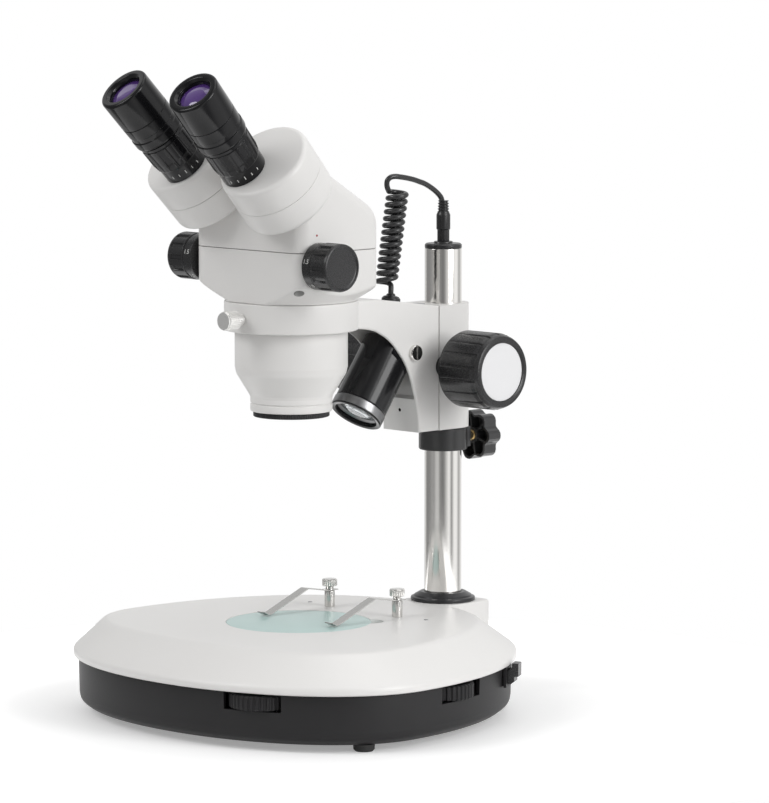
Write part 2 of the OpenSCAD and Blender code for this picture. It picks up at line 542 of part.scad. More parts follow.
module lamp_lens() color([0.9, 0.93, 0.95, 0.5]) lamp_frame() rotate_extrude()
  polygon([[0, 1.8], [5, 2.2], [9, 3.4], [lamp_b - 1.1, 5.2], [lamp_b - 1.1, 7.2], [0, 7.2]]);
module lamp_led() color([0.95, 0.9, 0.6]) lamp_frame() difference() {
  union() {
    rod(lamp_b - 0.1, 32, 37.9);
    rod(5, 30, 33);
  }
  for (a = [0:60:300]) rotate([0, 0, a]) translate([9.5, 0, 28]) cylinder(r = 1.5, h = 12);
}
module lamp_screws() color(steel) for (s = [-1, 1]) scale([s, 1, 1]) translate([0, piv_y,
    piv_z]) along_x() difference() {
  rotate_extrude() polygon([[0, 10], [1.96, 10], [1.96, aw - 0.75], [5.3, aw - 0.75], [5.3, aw + 2.3],
      [4.8, aw + 2.8], [0, aw + 2.8]]);
  translate([-7, -0.55, aw + 2]) cube([14, 1.1, 2]);
}

// ---------------------------------------------------------------- head
module on_axis() translate([0, oy, cz]) children();
br = barrel_diameter / 2;
module objective_barrel() color(white) on_axis() rotate_extrude($fn = 96)
  polygon([[24.05, 202.5], [26.2, 202.5], [26.7, 203], [26.9, 207], [26.2, 207.4], [26.2, 208], [26.9,
      208.4], [26.9, 211.7],
    [27.4, 213], [br - 0.8, 227], [br, 229.2], [br, 256.6], [br - 2.1, 256.6], [br - 2.1, 262], [br - 4.5,
        262], [br - 4.5, 231], [24.05, 213]]);
module objective_ring() color([0.1, 0.1, 0.1]) on_axis() difference() {
  union() {
    translate([0, 0, 198.9]) linear_extrude(3.3) polygon(flutes(60, 25, 0.4, 0.9));
    rotate_extrude() polygon([[20, 199.4], [24, 199.4], [24, 208.5], [20, 208.5]]);
  }
  rod(21.5, 190, 212);
}
module objective_lens() color([0.75, 0.85, 0.95, 0.4]) on_axis() {
  rotate_extrude() polygon([[0, 209.2], [10, 209.8], [20, 212], [24, 213.2], [24, 215.6], [0, 218.4]]);
}
hw = head_width / 2;
hy0 = oy - 40;
hy1 = oy + 33;
hz0 = 275.2 + cz;
seam = 310 + cz;
module head_lower() color(white) difference() {
  union() {
    intersection() {
      translate([0, 0, hz0]) linear_extrude(seam - hz0 - 0.2) polygon(rr(-hw, hw, hy0, hy1, 11));
      on_axis() rotate_extrude($fn = 96) polygon([[0, 275.2], [rr_out - 0.6, 275.2], [rr_out - 0.4,
          276.2], [rr_out + 30, 295.4], [rr_out + 30, 320], [0, 320]]);
    }
    on_axis() rod(38, 257, 276);
  }
  on_axis() rod(br - 2.05, 250, 279);
  translate([0, 0, hz0 + 12]) linear_extrude(40) polygon(rr(4 - hw, hw - 4, hy0 + 4, hy1 - 4, 8, 3));
  on_axis() rod(32, 270, 290);
  for (s = [-1, 1]) translate([s * (hw - 5), oy - 26.2, cz + 301.7]) along_x() cylinder(r = 3.05,
      h = 14, center = true);
  for (x = [-1, 1]) for (y = [hy0 + 5.2, hy1 - 5.2]) translate([x * (hw - 8.5), y,
      hz0 - 4]) cylinder(r = 3.4, h = 18);
}
drum_x = 33.4;
drum_y = oy - 32.9;
drum_z = 342.5 + cz;
dr = drum_diameter / 2;
tilt = 43.6;
toe = 4.3;
module on_drum(s) translate([s * drum_x, drum_y, drum_z]) rotate([tilt, 0, 0]) rotate([0, s * toe,
    0]) children();
back_arc = [[hy1, 310.2], [hy1, 327.5], [hy1 - 0.5, 330.4], [hy1 - 1.9, 333], [hy1 - 4, 335.5],
    [hy1 - 7, 337.9], [hy1 - 10, 339.8],
  [oy - 11, 360], [oy - 14, 362], [oy - 30, 362], [hy0, 350], [hy0, 310.2]];
module head_upper() color(white) difference() {
  union() {
    difference() {
      intersection() {
        translate([0, 0, cz]) side_view(back_arc, 2 * hw + 4);
        translate([0, 0, seam]) linear_extrude(60) polygon(rr(-hw, hw, hy0, hy1, 11));
      }
      for (s = [-1, 1]) intersection() {
        on_drum(s) translate([-90, -90, -0.3]) cube([180, 180, 80]);
        translate([s > 0 ? 0 : -100, -200, 300]) cube([100, 400, 200]);
      }
    }
    // seat bosses under the prism housings
    for (s = [-1, 1]) on_drum(s) rod(11, -13, -0.3);
  }
  difference() {
    translate([0, 0, seam - 1]) linear_extrude(24) polygon(rr(4 - hw, hw - 4, hy0 + 4, hy1 - 4, 8, 3));
    for (s = [-1, 1]) on_drum(s) rod(11, -13, 2);
  }
  for (s = [-1, 1]) on_drum(s) rod(8.05, -12, 2);
  for (s = [-1, 1]) on_drum(s) rod(5, -30, 2);
}
module zoom_knob(s) translate([0, oy - 26.2, 301.7 + cz]) scale([s, 1, 1]) along_x() difference() {
  zr = zoom_knob_diameter / 2;
  union() {
    rod(zr - 0.3, hw + 0.4, hw + 7.4);
    translate([0, 0, hw + 7.7]) linear_extrude(12.8) polygon(flutes(15, zr, 0.9, 5.4));
    rod(zr - 1.2, hw + 7.3, hw + 21);
    rotate_extrude() polygon([[0, hw + 20], [zr - 0.4, hw + 20], [zr - 0.6, hw + 21.4], [zr - 1.6,
        hw + 22.7], [0, hw + 22.7]]);
  }
  rotate_extrude() polygon([[0, hw + 21.6], [6, hw + 21.7], [zr - 4, hw + 22.1], [zr - 2.6, hw + 22.8],
      [zr - 2.6, hw + 25], [0, hw + 25]]);
  rod(3.02, hw - 2, hw + 15);
}
module zoom_knob_right() color(black) zoom_knob(1);
module zoom_knob_left() color(black) zoom_knob(-1);
// through shaft with the cam drum that moves the lens carriers
module zoom_shaft() color(steel) translate([0, oy - 26.2, 301.7 + cz]) {
  translate([-hw - 14.5, 0, 0]) along_x() cylinder(r = 3, h = 2 * hw + 29);
  translate([-16, 0, 0]) along_x() cylinder(r = 6.4, h = 32);
}

// ---------------------------------------------------------------- viewing tubes
module prism_drum(s) on_drum(s) difference() {
  union() {
    rotate_extrude($fn = 96) polygon([[0, 0], [dr - 3.2, 0], [dr - 1.8, 0.4], [dr - 0.7, 1.3],
        [dr - 0.1, 2.8], [dr, 4.2], [dr, 19.3], [0, 19.3]]);
    rod(8, -6, 1);
  }
  rod(dr - 3, 3, 20);
  rod(6, -8, 5);
}
module prism_drum_right() color(white) prism_drum(1);
module prism_drum_left() color(white) prism_drum(-1);
// eyepiece axis inside the prism housing's own frame
ex = -9.1;
ey = -10.2;
module on_tube(s) on_drum(s) translate([s * ex, ey, 38.8]) children();
module drum_cover(s) difference() {
  union() {
    on_drum(s) difference() {
      rotate_extrude($fn = 96) polygon([[0, 19.5], [dr, 19.5], [dr, 35.2], [dr - 0.4, 36.8], [dr - 1.4,
          38], [dr - 3, 38.7], [dr - 4, 38.8], [0, 38.8]]);
      rod(dr - 3, 18, 35.8);
    }
    // the black eye tube's inner sleeve
    on_tube(s) rod(13.4, -6, 22);
  }
  on_tube(s) rod(11.6, -8, 30);
}
module drum_cover_right() color(white) drum_cover(1);
module drum_cover_left() color(white) drum_cover(-1);
el = eyepiece_length;
er = eyepiece_diameter / 2;
// stepped sleeve with a fluted ring; it turns on the inner sleeve
module diopter(s) on_tube(s) difference() {
  union() {
    rod(15, 0.1, 9.4);
    rod(15.4, 9.3, 15);
    translate([0, 0, 14.9]) linear_extrude(13.2) polygon(flutes(24, 16.4, 0.8, 3.6));
    rod(15.8, 28, 30.4);
  }
  rod(13.45, -2, 23);
  rod(14.1, 22.4, 34);
}
module diopter_right() color([0.06, 0.06, 0.065]) diopter(1);
module diopter_left() color([0.06, 0.06, 0.065]) diopter(-1);
module eyepiece(s) on_tube(s) rotate_extrude($fn = 96) polygon([[8.4, 6], [11.5, 6], [11.5, 22.6], [14,
    22.8], [14, 31.4], [er - 0.2, 31.4], [er, 32.4], [er, 37.4],
  [er - 0.7, 38], [er - 0.7, 40.4], [er - 0.3, 41], [er - 0.2, el - 6], [er - 0.9, el - 5.4],
      [er - 0.9, el - 4.8], [er - 0.2, el - 4.2],
  [er - 0.3, el - 1.2], [er - 0.9, el - 0.3], [er - 1.8, el], [er - 4.5, el - 0.1], [er - 6,
      el - 1.8], [er - 6.4, el - 3], [er - 6.4, el - 12], [8.4, el - 12]]);
module eyepiece_right() color([0.05, 0.05, 0.055]) eyepiece(1);
module eyepiece_left() color([0.05, 0.05, 0.055]) eyepiece(-1);
module eye_lens(s) on_tube(s) rotate_extrude() polygon([[0, el - 10.6], [er - 6.44, el - 10.6],
  [er - 6.44, el - 4.4], [6.5, el - 3], [0, el - 2.5]]);
module eye_lens_right() color([0.45, 0.4, 0.7, 0.6]) eye_lens(1);
module eye_lens_left() color([0.45, 0.4, 0.7, 0.6]) eye_lens(-1);

base_cover();
base_pan();
bottom_plate();
feet();
case_screws();
stage_glass();
clip_posts();
clip_blade_left();
clip_blade_right();
light_cup();
driver_board();
front_dimmer();
side_dimmer();
switch_frame();
switch_rocker();
power_inlet();
pillar();
pillar_flange();
pillar_cap();
cord_plug();
cord_arc_rear();
cord_arc_front();
cord_coil();
cord_tail();
cord_grommet();
carrier();
pinion_shaft();
shaft_bushings();
focus_knob_right();
focus_knob_left();
focus_discs();
collar();
clamp_knob();
clamp_screw();
arm();
rack();
ring_screw();
lamp_barrel();
lamp_ring();
lamp_lens();
lamp_led();
lamp_screws();
objective_barrel();
objective_ring();
objective_lens();
head_lower();
head_upper();
zoom_knob_right();
zoom_knob_left();
zoom_shaft();
prism_drum_right();
prism_drum_left();
drum_cover_right();
drum_cover_left();
diopter_right();
diopter_left();
eyepiece_right();
eyepiece_left();
eye_lens_right();
eye_lens_left();
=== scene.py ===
# %% [markdown]
# # A stereo microscope, piece by piece
# This lesson dresses the construction model of a bench stereo microscope: a lit base with a
# glass stage, a steel pillar, a focusing arm with a small spot lamp, and a zoom head with two
# eyepieces. The construction model is the frame. Every piece made here sits on it, in metres,
# and all but the cord's three lengths ride on the part of the mechanism that really carries it.

# %% Load the frame
import bpy, bmesh, math
import numpy as np
from mathutils import Vector, Matrix


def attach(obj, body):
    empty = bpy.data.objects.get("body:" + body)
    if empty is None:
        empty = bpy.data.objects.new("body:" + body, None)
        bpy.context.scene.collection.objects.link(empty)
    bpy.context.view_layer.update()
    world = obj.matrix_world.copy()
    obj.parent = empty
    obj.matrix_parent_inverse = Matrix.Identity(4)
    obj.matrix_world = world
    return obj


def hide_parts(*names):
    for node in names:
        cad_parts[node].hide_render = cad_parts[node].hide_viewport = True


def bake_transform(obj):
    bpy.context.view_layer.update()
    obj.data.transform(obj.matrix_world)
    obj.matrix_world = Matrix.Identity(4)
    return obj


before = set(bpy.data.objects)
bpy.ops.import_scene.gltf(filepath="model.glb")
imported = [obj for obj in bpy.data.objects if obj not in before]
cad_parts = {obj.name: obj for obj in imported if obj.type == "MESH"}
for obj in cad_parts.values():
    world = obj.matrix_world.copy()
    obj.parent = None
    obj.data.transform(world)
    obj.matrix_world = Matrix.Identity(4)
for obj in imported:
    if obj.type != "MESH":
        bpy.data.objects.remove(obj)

MM = 0.001
scene = bpy.context.scene
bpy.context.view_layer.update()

def placed(name, data):
    """a new object in the scene"""
    made = bpy.data.objects.new(name, data)
    scene.collection.objects.link(made)
    return made

# %% [markdown]
# ## Camera
# A product is photographed with a long lens from a few metres away, so that its upright edges
# stay nearly parallel. A 218 mm lens about three metres off does that here. The camera looks
# slightly down on the stage.

# %% Camera
LOOK = Vector((-0.70335, 0.70202, -0.11163))

def aimed(way):
    """turns a camera or a lamp so that it looks along a direction"""
    return way.to_track_quat("-Z", "Y").to_euler()

camera = placed("camera", bpy.data.cameras.new("camera"))
camera.location = (2.2803, -2.2179, 0.5633)
camera.rotation_euler = aimed(LOOK)
camera.data.lens = 217.9
camera.data.sensor_width = 36
camera.data.clip_end = 40
scene.camera = camera
gap = camera.location - Vector((0, -0.028, 0.2))
print("camera distance from the optical axis:", round(gap.length, 2), "m")

# %% [markdown]
# ## Studio
# The microscope stands in a white tent. Two large soft lamps, one at the upper left and one
# on the right, give the shapes their shading. A weaker one hangs above, and the tent itself
# gives the rest. A narrow strip lamp draws a bright line along each round black piece.
# The tent has darker gaps between its panels. Polished metal and lacquer mirror them at full
# strength, as dark streaks between white ones. For the camera the tent is plain white.

# %% Shader helpers
def feed(node, inputs):
    """gives each input its value, or the socket that drives it"""
    for key, value in inputs.items():
        if isinstance(value, bpy.types.NodeSocket):
            node.id_data.links.new(value, node.inputs[key])
        else:
            node.inputs[key].default_value = value

def added(tree, kind, inputs={}, **settings):
    """a new shader node with its settings and inputs"""
    node = tree.nodes.new(kind)
    for key, value in settings.items():
        setattr(node, key, value)
    feed(node, inputs)
    return node

def seen_share(tree, rays):
    """1 for rays from the camera, from a mirror or through glass, 0 for scattered light"""
    total = rays.outputs["Is Camera Ray"]
    for kind in ("Is Glossy Ray", "Is Transmission Ray"):
        total = added(tree, "ShaderNodeMath", {0: total, 1: rays.outputs[kind]}, operation="ADD",
            use_clamp=True).outputs[0]
    return total

print("helpers: feed, added, seen_share")

# %% Light tent
WHITE = (1, 1, 1, 1)
TENT_STRENGTH = 0.455
# share of a full turn round the tent, and how light the panel is there
TENT_PANELS = ((0.0, 0.45), (0.044, 0.25), (0.09, 0.26), (0.13, 0.28), (0.175, 0.36), (0.215, 0.34),
    (0.25, 0.56), (0.29, 0.60), (0.308, 0.38), (0.325, 0.28), (0.36, 0.20), (0.38, 0.22),
    (0.40, 0.32), (0.43, 0.60), (0.465, 0.90), (0.485, 1.0), (0.50, 0.72), (0.519, 0.34),
    (0.54, 0.38), (0.56, 0.80), (0.58, 1.0), (0.635, 1.0), (0.66, 0.75), (0.685, 0.46),
    (0.71, 0.52), (0.75, 0.80), (0.80, 0.95), (0.88, 0.80), (0.95, 0.50), (1.0, 0.45))

scene.view_settings.view_transform = "Standard"
world = bpy.data.worlds.new("light_tent")
scene.world = world
world.use_nodes = True
tree = world.node_tree
tree.nodes.clear()
rays = added(tree, "ShaderNodeLightPath")
where = added(tree, "ShaderNodeTexCoord")
split = added(tree, "ShaderNodeSeparateXYZ", {0: where.outputs["Generated"]})
turn = added(tree, "ShaderNodeMath", {0: split.outputs["Y"], 1: split.outputs["X"]},
    operation="ARCTAN2")
share = added(tree, "ShaderNodeMath", {0: turn.outputs[0], 1: 1 / (2 * math.pi), 2: 0.5},
    operation="MULTIPLY_ADD")
panels = added(tree, "ShaderNodeValToRGB", {0: share.outputs[0]})
stops = panels.color_ramp.elements
for k, (place, grey) in enumerate(TENT_PANELS):
    stop = stops.new(place) if k else stops[0]
    stop.position = place
    stop.color = (grey, grey, grey, 1)
backdrop = added(tree, "ShaderNodeMix", {"Factor": rays.outputs["Is Camera Ray"],
    "A": panels.outputs[0], "B": WHITE}, data_type="RGBA")
tent = added(tree, "ShaderNodeBackground", {"Color": WHITE, "Strength": TENT_STRENGTH})
plain = added(tree, "ShaderNodeBackground", {"Color": backdrop.outputs["Result"], "Strength": 1.0})
mix = added(tree, "ShaderNodeMixShader", {0: seen_share(tree, rays), 1: tent.outputs[0],
    2: plain.outputs[0]})
added(tree, "ShaderNodeOutputWorld", {"Surface": mix.outputs[0]})
print("tent panels:", len(TENT_PANELS))

# %% Soft lamps
def soft_lamp(name, place, width, height, watts, aim=(0, 0.02, 0.2)):
    lamp = bpy.data.lights.new(name, "AREA")
    lamp.shape = "RECTANGLE"
    lamp.size, lamp.size_y = width, height
    lamp.energy = watts
    made = placed(name, lamp)
    made.location = place
    made.rotation_euler = aimed(Vector(aim) - Vector(place))

soft_lamp("key_lamp", (-0.9, -1.9, 1.9), 1.3, 1.3, 22.5)
soft_lamp("fill_lamp", (2.3, 0.4, 1.1), 0.9, 1.6, 30)
soft_lamp("top_lamp", (0.1, 0.3, 2.3), 1.6, 1.6, 7)
soft_lamp("strip_lamp", (2.2, -0.25, 1.0), 0.10, 1.8, 2, (0, 0.02, 0.25))

# %% [markdown]
# ## Materials
# Each finish is built from a Principled shader. Fine noise in the object's own millimetres
# breaks up its colour, its roughness and its surface, because even new powder coat or moulded
# plastic is never perfectly even. Values that are the same all over stay on the shader itself.
# Some construction pieces keep their own shape, and `on` names those that wear the finish.

# %% Finish helper
CLOUD_SCALE = 45
BUMP_HEIGHT = 0.0001
COAT_ROUGH = 0.06

def finish(name, colour, rough, on="", metal=0.0, vary=0.02, rough_vary=0.05, grain=0.0,
        grain_size=0.6, stretch=(1, 1, 1), coat=0.0, edge=0.0, ior=1.5, through=0.0):
    """colour, roughness and a fine bump from noise; sizes in millimetres"""
    made = bpy.data.materials.new(name)
    made.use_nodes = True
    made.diffuse_color = (*colour, 1)
    t = made.node_tree
    place = added(t, "ShaderNodeTexCoord")
    scale = added(t, "ShaderNodeMapping", {0: place.outputs["Object"], "Scale": stretch})
    cloud = added(t, "ShaderNodeTexNoise", {"Vector": scale.outputs[0], "Scale": CLOUD_SCALE,
        "Detail": 4})
    fine = added(t, "ShaderNodeTexNoise", {"Vector": scale.outputs[0], "Scale": 1000 / grain_size,
        "Detail": 3})
    low, high = [(*(min(1, max(0, c * (1 + by))) for c in colour), 1) for by in (-vary, vary)]
    tint = added(t, "ShaderNodeMix", {"Factor": cloud.outputs["Fac"], "A": low, "B": high},
        data_type="RGBA")
    spread = added(t, "ShaderNodeMapRange", {"Value": fine.outputs["Fac"],
        "To Min": max(0.02, rough - rough_vary), "To Max": min(1, rough + rough_vary)})
    normal = {}
    if edge:
        soft = added(t, "ShaderNodeBevel", {"Radius": edge / 1000}, samples=4)
        normal = {"Normal": soft.outputs[0]}
    if grain:
        bump = added(t, "ShaderNodeBump", {"Height": fine.outputs["Fac"], "Strength": grain,
            "Distance": BUMP_HEIGHT, **normal})
        normal = {"Normal": bump.outputs[0]}
    feed(t.nodes["Principled BSDF"], {"Base Color": tint.outputs["Result"],
        "Roughness": spread.outputs["Result"], "Metallic": metal, "IOR": ior, "Coat Weight": coat,
        "Coat Roughness": COAT_ROUGH, "Transmission Weight": through, **normal})
    for part in on.split():
        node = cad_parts[part]
        if not node.material_slots:
            node.data.materials.append(made)
        for slot in node.material_slots:
            slot.material = made
    return made

print("helper: finish")

# %% [markdown]
# The shells are cast aluminium under a satin powder coat. It is nearly white with a trace of
# warmth, and its surface has a very fine orange peel that softens each highlight.

# %% Paints and plastics
powder_coat = finish("powder_coat", (0.80, 0.79, 0.775), 0.36, "carrier", vary=0.012, grain=0.10,
    grain_size=0.9, edge=0.6)
pan_plastic = finish("pan_plastic", (0.017, 0.0165, 0.0175), 0.46, "switch_frame power_inlet",
    vary=0.10, grain=0.25, grain_size=0.7, edge=0.4, ior=1.33)
knob_plastic = finish("knob_plastic", (0.018, 0.018, 0.019), 0.27, "switch_rocker cord_grommet",
    vary=0.10, grain=0.04, grain_size=0.5, edge=0.35)
eye_lacquer = finish("eye_lacquer", (0.008, 0.008, 0.009), 0.13, vary=0.08, rough_vary=0.03,
    grain=0.02, grain_size=1.2, edge=0.25, ior=1.36)
lamp_lacquer = finish("lamp_lacquer", (0.010, 0.010, 0.011), 0.15, vary=0.08, rough_vary=0.04,
    grain=0.03, grain_size=1.0, coat=0.1, edge=0.3, ior=1.36)
anodised = finish("anodised", (0.030, 0.030, 0.032), 0.30, "shaft_bushings", metal=0.4, vary=0.06,
    grain=0.05, grain_size=0.25, stretch=(1, 1, 8), edge=0.3)
cord_jacket = finish("cord_jacket", (0.024, 0.024, 0.025), 0.26, vary=0.10, grain=0.15,
    grain_size=0.4)
disc_white = finish("disc_white", (0.84, 0.84, 0.85), 0.32, vary=0.008, grain=0.04, edge=0.2)
tick_white = finish("tick_white", (0.75, 0.75, 0.73), 0.5)
mark_red = finish("mark_red", (0.32, 0.02, 0.02), 0.4, vary=0.05)
finish("clamp_plastic", (0.036, 0.036, 0.037), 0.24, "clamp_knob collar", vary=0.10, grain=0.05,
    grain_size=0.8, edge=0.6)
finish("foot_rubber", (0.020, 0.020, 0.020), 0.75, "feet", vary=0.15, grain=0.4, grain_size=0.5)
finish("cup_white", (0.82, 0.82, 0.80), 0.55, "light_cup", vary=0.03, grain=0.2)
finish("board_green", (0.02, 0.11, 0.05), 0.45, "driver_board", vary=0.25, grain=0.2,
    grain_size=0.9)
finish("led_yellow", (0.85, 0.78, 0.35), 0.35, "lamp_led", vary=0.12, grain=0.3)
finish("plate_paint", (0.12, 0.12, 0.125), 0.5, "bottom_plate", vary=0.1, grain=0.3)
print("paints and plastics:", len(bpy.data.materials))

# %% [markdown]
# Bare metal gets its look from what it reflects, so it needs direction in its scratches more
# than colour. The pillar is polished along its length: the noise is stretched about eighty
# times along Z and gives fine upright lines. The nickel parts are smoother.

# %% Metals
before = len(bpy.data.materials)
pillar_steel = finish("pillar_steel", (0.82, 0.805, 0.78), 0.13, metal=1.0, vary=0.08,
    rough_vary=0.04, grain=0.10, grain_size=0.35, stretch=(1, 1, 0.012))
nickel = finish("nickel", (0.72, 0.71, 0.69), 0.16, "lamp_screws", metal=1.0, vary=0.04, grain=0.05,
    grain_size=0.4, edge=0.15)
spring_steel = finish("spring_steel", (0.60, 0.595, 0.58), 0.22, metal=1.0, vary=0.06, grain=0.08,
    grain_size=0.3, stretch=(1, 0.06, 1))
# A darker grey for the insides of the head's screw holes: bare metal, and painted shade for the
# shadow inside them.
bare_metal_and_shade = finish("bare_metal_and_shade", (0.42, 0.42, 0.41), 0.55, metal=0.3, vary=0.10, grain=0.3)
lamp_satin = finish("lamp_satin", (0.26, 0.26, 0.265), 0.30, metal=1.0, vary=0.06, grain=0.06,
    grain_size=0.25, stretch=(1, 1, 6), edge=0.2)
bright = finish("lamp_reflector", (0.86, 0.86, 0.85), 0.18, metal=1.0)
finish("brushed_steel", (0.90, 0.895, 0.88), 0.42, "ring_screw", metal=1.0, vary=0.04, grain=0.10,
    grain_size=0.3, edge=0.15)
finish("dull_steel", (0.42, 0.42, 0.43), 0.42, "case_screws pinion_shaft rack zoom_shaft",
    metal=1.0, vary=0.08, grain=0.2)
finish("brass", (0.80, 0.66, 0.42), 0.24, "clamp_screw", metal=1.0, vary=0.06, grain=0.05)
print("metals:", len(bpy.data.materials) - before)

# %% [markdown]
# The stage plate is ground glass: light goes in and scatters, and the green of its edge shows
# through. Lenses are clear with a coloured coating, so their reflection is tinted.

# %% Glass
frosted_glass = finish("frosted_glass", (0.62, 0.82, 0.79), 0.30, vary=0.04, grain=0.03,
    grain_size=0.3, through=0.25)
clear_glass = finish("clear_glass", (0.92, 0.95, 0.97), 0.05, "objective_lens", vary=0.01,
    rough_vary=0.01, through=0.85)
violet_glass = finish("violet_glass", (0.085, 0.035, 0.20), 0.06, vary=0.25, rough_vary=0.02,
    coat=1.0)
print("glasses:", [m.name for m in (frosted_glass, clear_glass, violet_glass)])

# %% [markdown]
# ## Floor
# A round pale sheet takes the microscope's soft shadow. Towards its rim it gives off white
# light that only the camera and mirrors see, so it runs into the white background. It is kept
# small, because the upright pillar mirrors what lies far out: there it meets the tent's panels.

# %% Floor
FLOOR_REACH = 0.40
sheet = bmesh.new()
bmesh.ops.create_circle(sheet, cap_ends=True, segments=128, radius=FLOOR_REACH)
floor_mesh = bpy.data.meshes.new("studio_floor")
sheet.to_mesh(floor_mesh)
sheet.free()
studio_floor = placed("studio_floor", floor_mesh)
floor_paper = bpy.data.materials.new("floor_paper")
floor_paper.use_nodes = True
t = floor_paper.node_tree
spot = added(t, "ShaderNodeTexCoord")
away = added(t, "ShaderNodeVectorMath", {0: spot.outputs["Object"]}, operation="LENGTH")
fade = added(t, "ShaderNodeMapRange", {"Value": away.outputs["Value"],
    "From Min": 0.45 * FLOOR_REACH, "From Max": 0.90 * FLOOR_REACH, "To Min": 0.30, "To Max": 0.95},
    interpolation_type="SMOOTHSTEP")
lift = added(t, "ShaderNodeMath", {0: seen_share(t, added(t, "ShaderNodeLightPath")),
    1: fade.outputs["Result"]}, operation="MULTIPLY")
feed(t.nodes["Principled BSDF"], {"Base Color": (0.84, 0.84, 0.84, 1), "Roughness": 0.65,
    "Emission Color": WHITE, "Emission Strength": lift.outputs[0]})
floor_mesh.materials.append(floor_paper)
print("floor:", [round(x, 1) for x in studio_floor.dimensions], "m")

# %% [markdown]
# ## Shaping helpers
# Most pieces of an instrument are made on a lathe or in a mould, so two helpers do most of the
# work. `turned` spins a profile round an axis, as a lathe does, and can press flutes into it.
# `skinned` joins a stack of outlines, as a mould maker lofts a shell. Each corner is rounded
# by `eased`, because a corner without a radius catches no light and looks like a drawing.

# %% Places and outlines
def at(x=0, y=0, z=0):
    """a place, in millimetres"""
    return Matrix.Translation((x * MM, y * MM, z * MM))

def tipped(degrees, axis):
    return Matrix.Rotation(math.radians(degrees), 4, axis)

def sideways(side):
    """local +Z points along +X on the right and along -X on the left"""
    return tipped(90 * side, "Y")

def eased(points, radius, closed=False, steps=4):
    """rounds the corners of a polyline; one more number in a point sets its own radius"""
    size = 2 if len(points[0]) <= 3 else 3
    spots = [np.array(p[:size], float) for p in points]
    radii = [p[size] if len(p) > size else radius for p in points]
    made = []
    for i, here in enumerate(spots):
        if not closed and i in (0, len(spots) - 1) or radii[i] <= 0:
            made.append(here)
            continue
        back, ahead = spots[i - 1] - here, spots[(i + 1) % len(spots)] - here
        lb, la = np.linalg.norm(back), np.linalg.norm(ahead)
        if lb < 1e-9 or la < 1e-9:
            made += [here] * (steps + 1)
            continue
        bend = math.pi - math.acos(np.clip(np.dot(back, ahead) / lb / la, -1, 1))
        run = min(radii[i] * math.tan(bend / 2), 0.46 * lb, 0.46 * la)
        a, b = here + back / lb * run, here + ahead / la * run
        for k in range(steps + 1):
            u = k / steps
            made.append((1 - u) ** 2 * a + 2 * u * (1 - u) * here + u * u * b)
    return made

corner = eased([(0, 0), (10, 0), (10, 10)], 2)
print("corner of a 10 mm square eased by 2 mm:", len(corner), "points")

# %% Piece from points
SHARP = 32      # edges that bend more than this many degrees stay sharp
JOIN = 2e-7     # points closer than this, in metres, become one

def piece(name, points, faces, material, body, place=None, smooth=SHARP):
    """points in millimetres become a shaded piece that rides on its body"""
    mesh = bpy.data.meshes.new(name)
    mesh.from_pydata([Vector(p) for p in points], [], faces)
    made = placed(name, mesh)
    mesh.transform((place or Matrix.Identity(4)) @ Matrix.Scale(MM, 4))
    tidy = bmesh.new()
    tidy.from_mesh(mesh)
    bmesh.ops.remove_doubles(tidy, verts=tidy.verts, dist=JOIN)
    bmesh.ops.recalc_face_normals(tidy, faces=tidy.faces)
    tidy.to_mesh(mesh)
    tidy.free()
    mesh.shade_smooth()
    mesh.set_sharp_from_angle(angle=math.radians(smooth))
    mesh.materials.append(material)
    if body:
        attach(made, body)
    return made

def turned(name, profile, material, body, place=None, around=128, press=None, closed=False):
    """spins a profile of (radius, height) round local Z

    press(angles, radius, height) gives the skin's own radius at each angle."""
    angles = np.arange(around) * 2 * math.pi / around
    points, rings = [], []
    for r, z in [p[:2] for p in profile]:
        if r < 1e-6:
            rings.append([len(points)])
            points.append((0, 0, z))
            continue
        reach = press(angles, r, z) if press else np.full(around, r)
        rings.append(list(range(len(points), len(points) + around)))
        points += [(q * math.cos(a), q * math.sin(a), z) for q, a in zip(reach, angles)]
    faces = []
    for low, high in list(zip(rings, rings[1:])) + ([(rings[-1], rings[0])] if closed else []):
        for i in range(around):
            j = (i + 1) % around
            if len(low) == 1 and len(high) == 1:
                continue
            if len(low) == 1:
                faces.append((low[0], high[j], high[i]))
            elif len(high) == 1:
                faces.append((low[i], low[j], high[0]))
            else:
                faces.append((low[i], low[j], high[j], high[i]))
    return piece(name, points, faces, material, body, place)

def skinned(name, rings, material, body, place=None, ends=True, smooth=SHARP):
    """joins closed outlines with equal point counts, lowest first"""
    n = len(rings[0])
    points = [tuple(p) for ring in rings for p in ring]
    faces = [(k * n + i, k * n + (i + 1) % n, (k + 1) * n + (i + 1) % n, (k + 1) * n + i)
        for k in range(len(rings) - 1) for i in range(n)]
    if ends:
        faces += [tuple(range(n))[::-1], tuple((len(rings) - 1) * n + i for i in range(n))]
    return piece(name, points, faces, material, body, place, smooth)

def slots_pressed(count, width, depth, low, high, fade=0.8, wall=0.5):
    """narrow lengthwise grooves: width in millimetres, pressed between two heights"""
    def press(angles, r, z):
        pitch = 2 * math.pi / count
        off = np.abs((angles + pitch / 2) % pitch - pitch / 2) * r
        across = np.clip((width / 2 + wall / 2 - off) / wall, 0, 1)
        along = min(max((z - low) / fade, 0), 1) * min(max((high - z) / fade, 0), 1)
        return r - depth * across * along
    return press

print("helpers: turned, skinned, slots_pressed")

# %% Cutting
def shaped(made):
    """the mesh that an object gives once its modifiers or its bevel are applied"""
    found = bpy.context.evaluated_depsgraph_get()
    return bpy.data.meshes.new_from_object(made.evaluated_get(found))

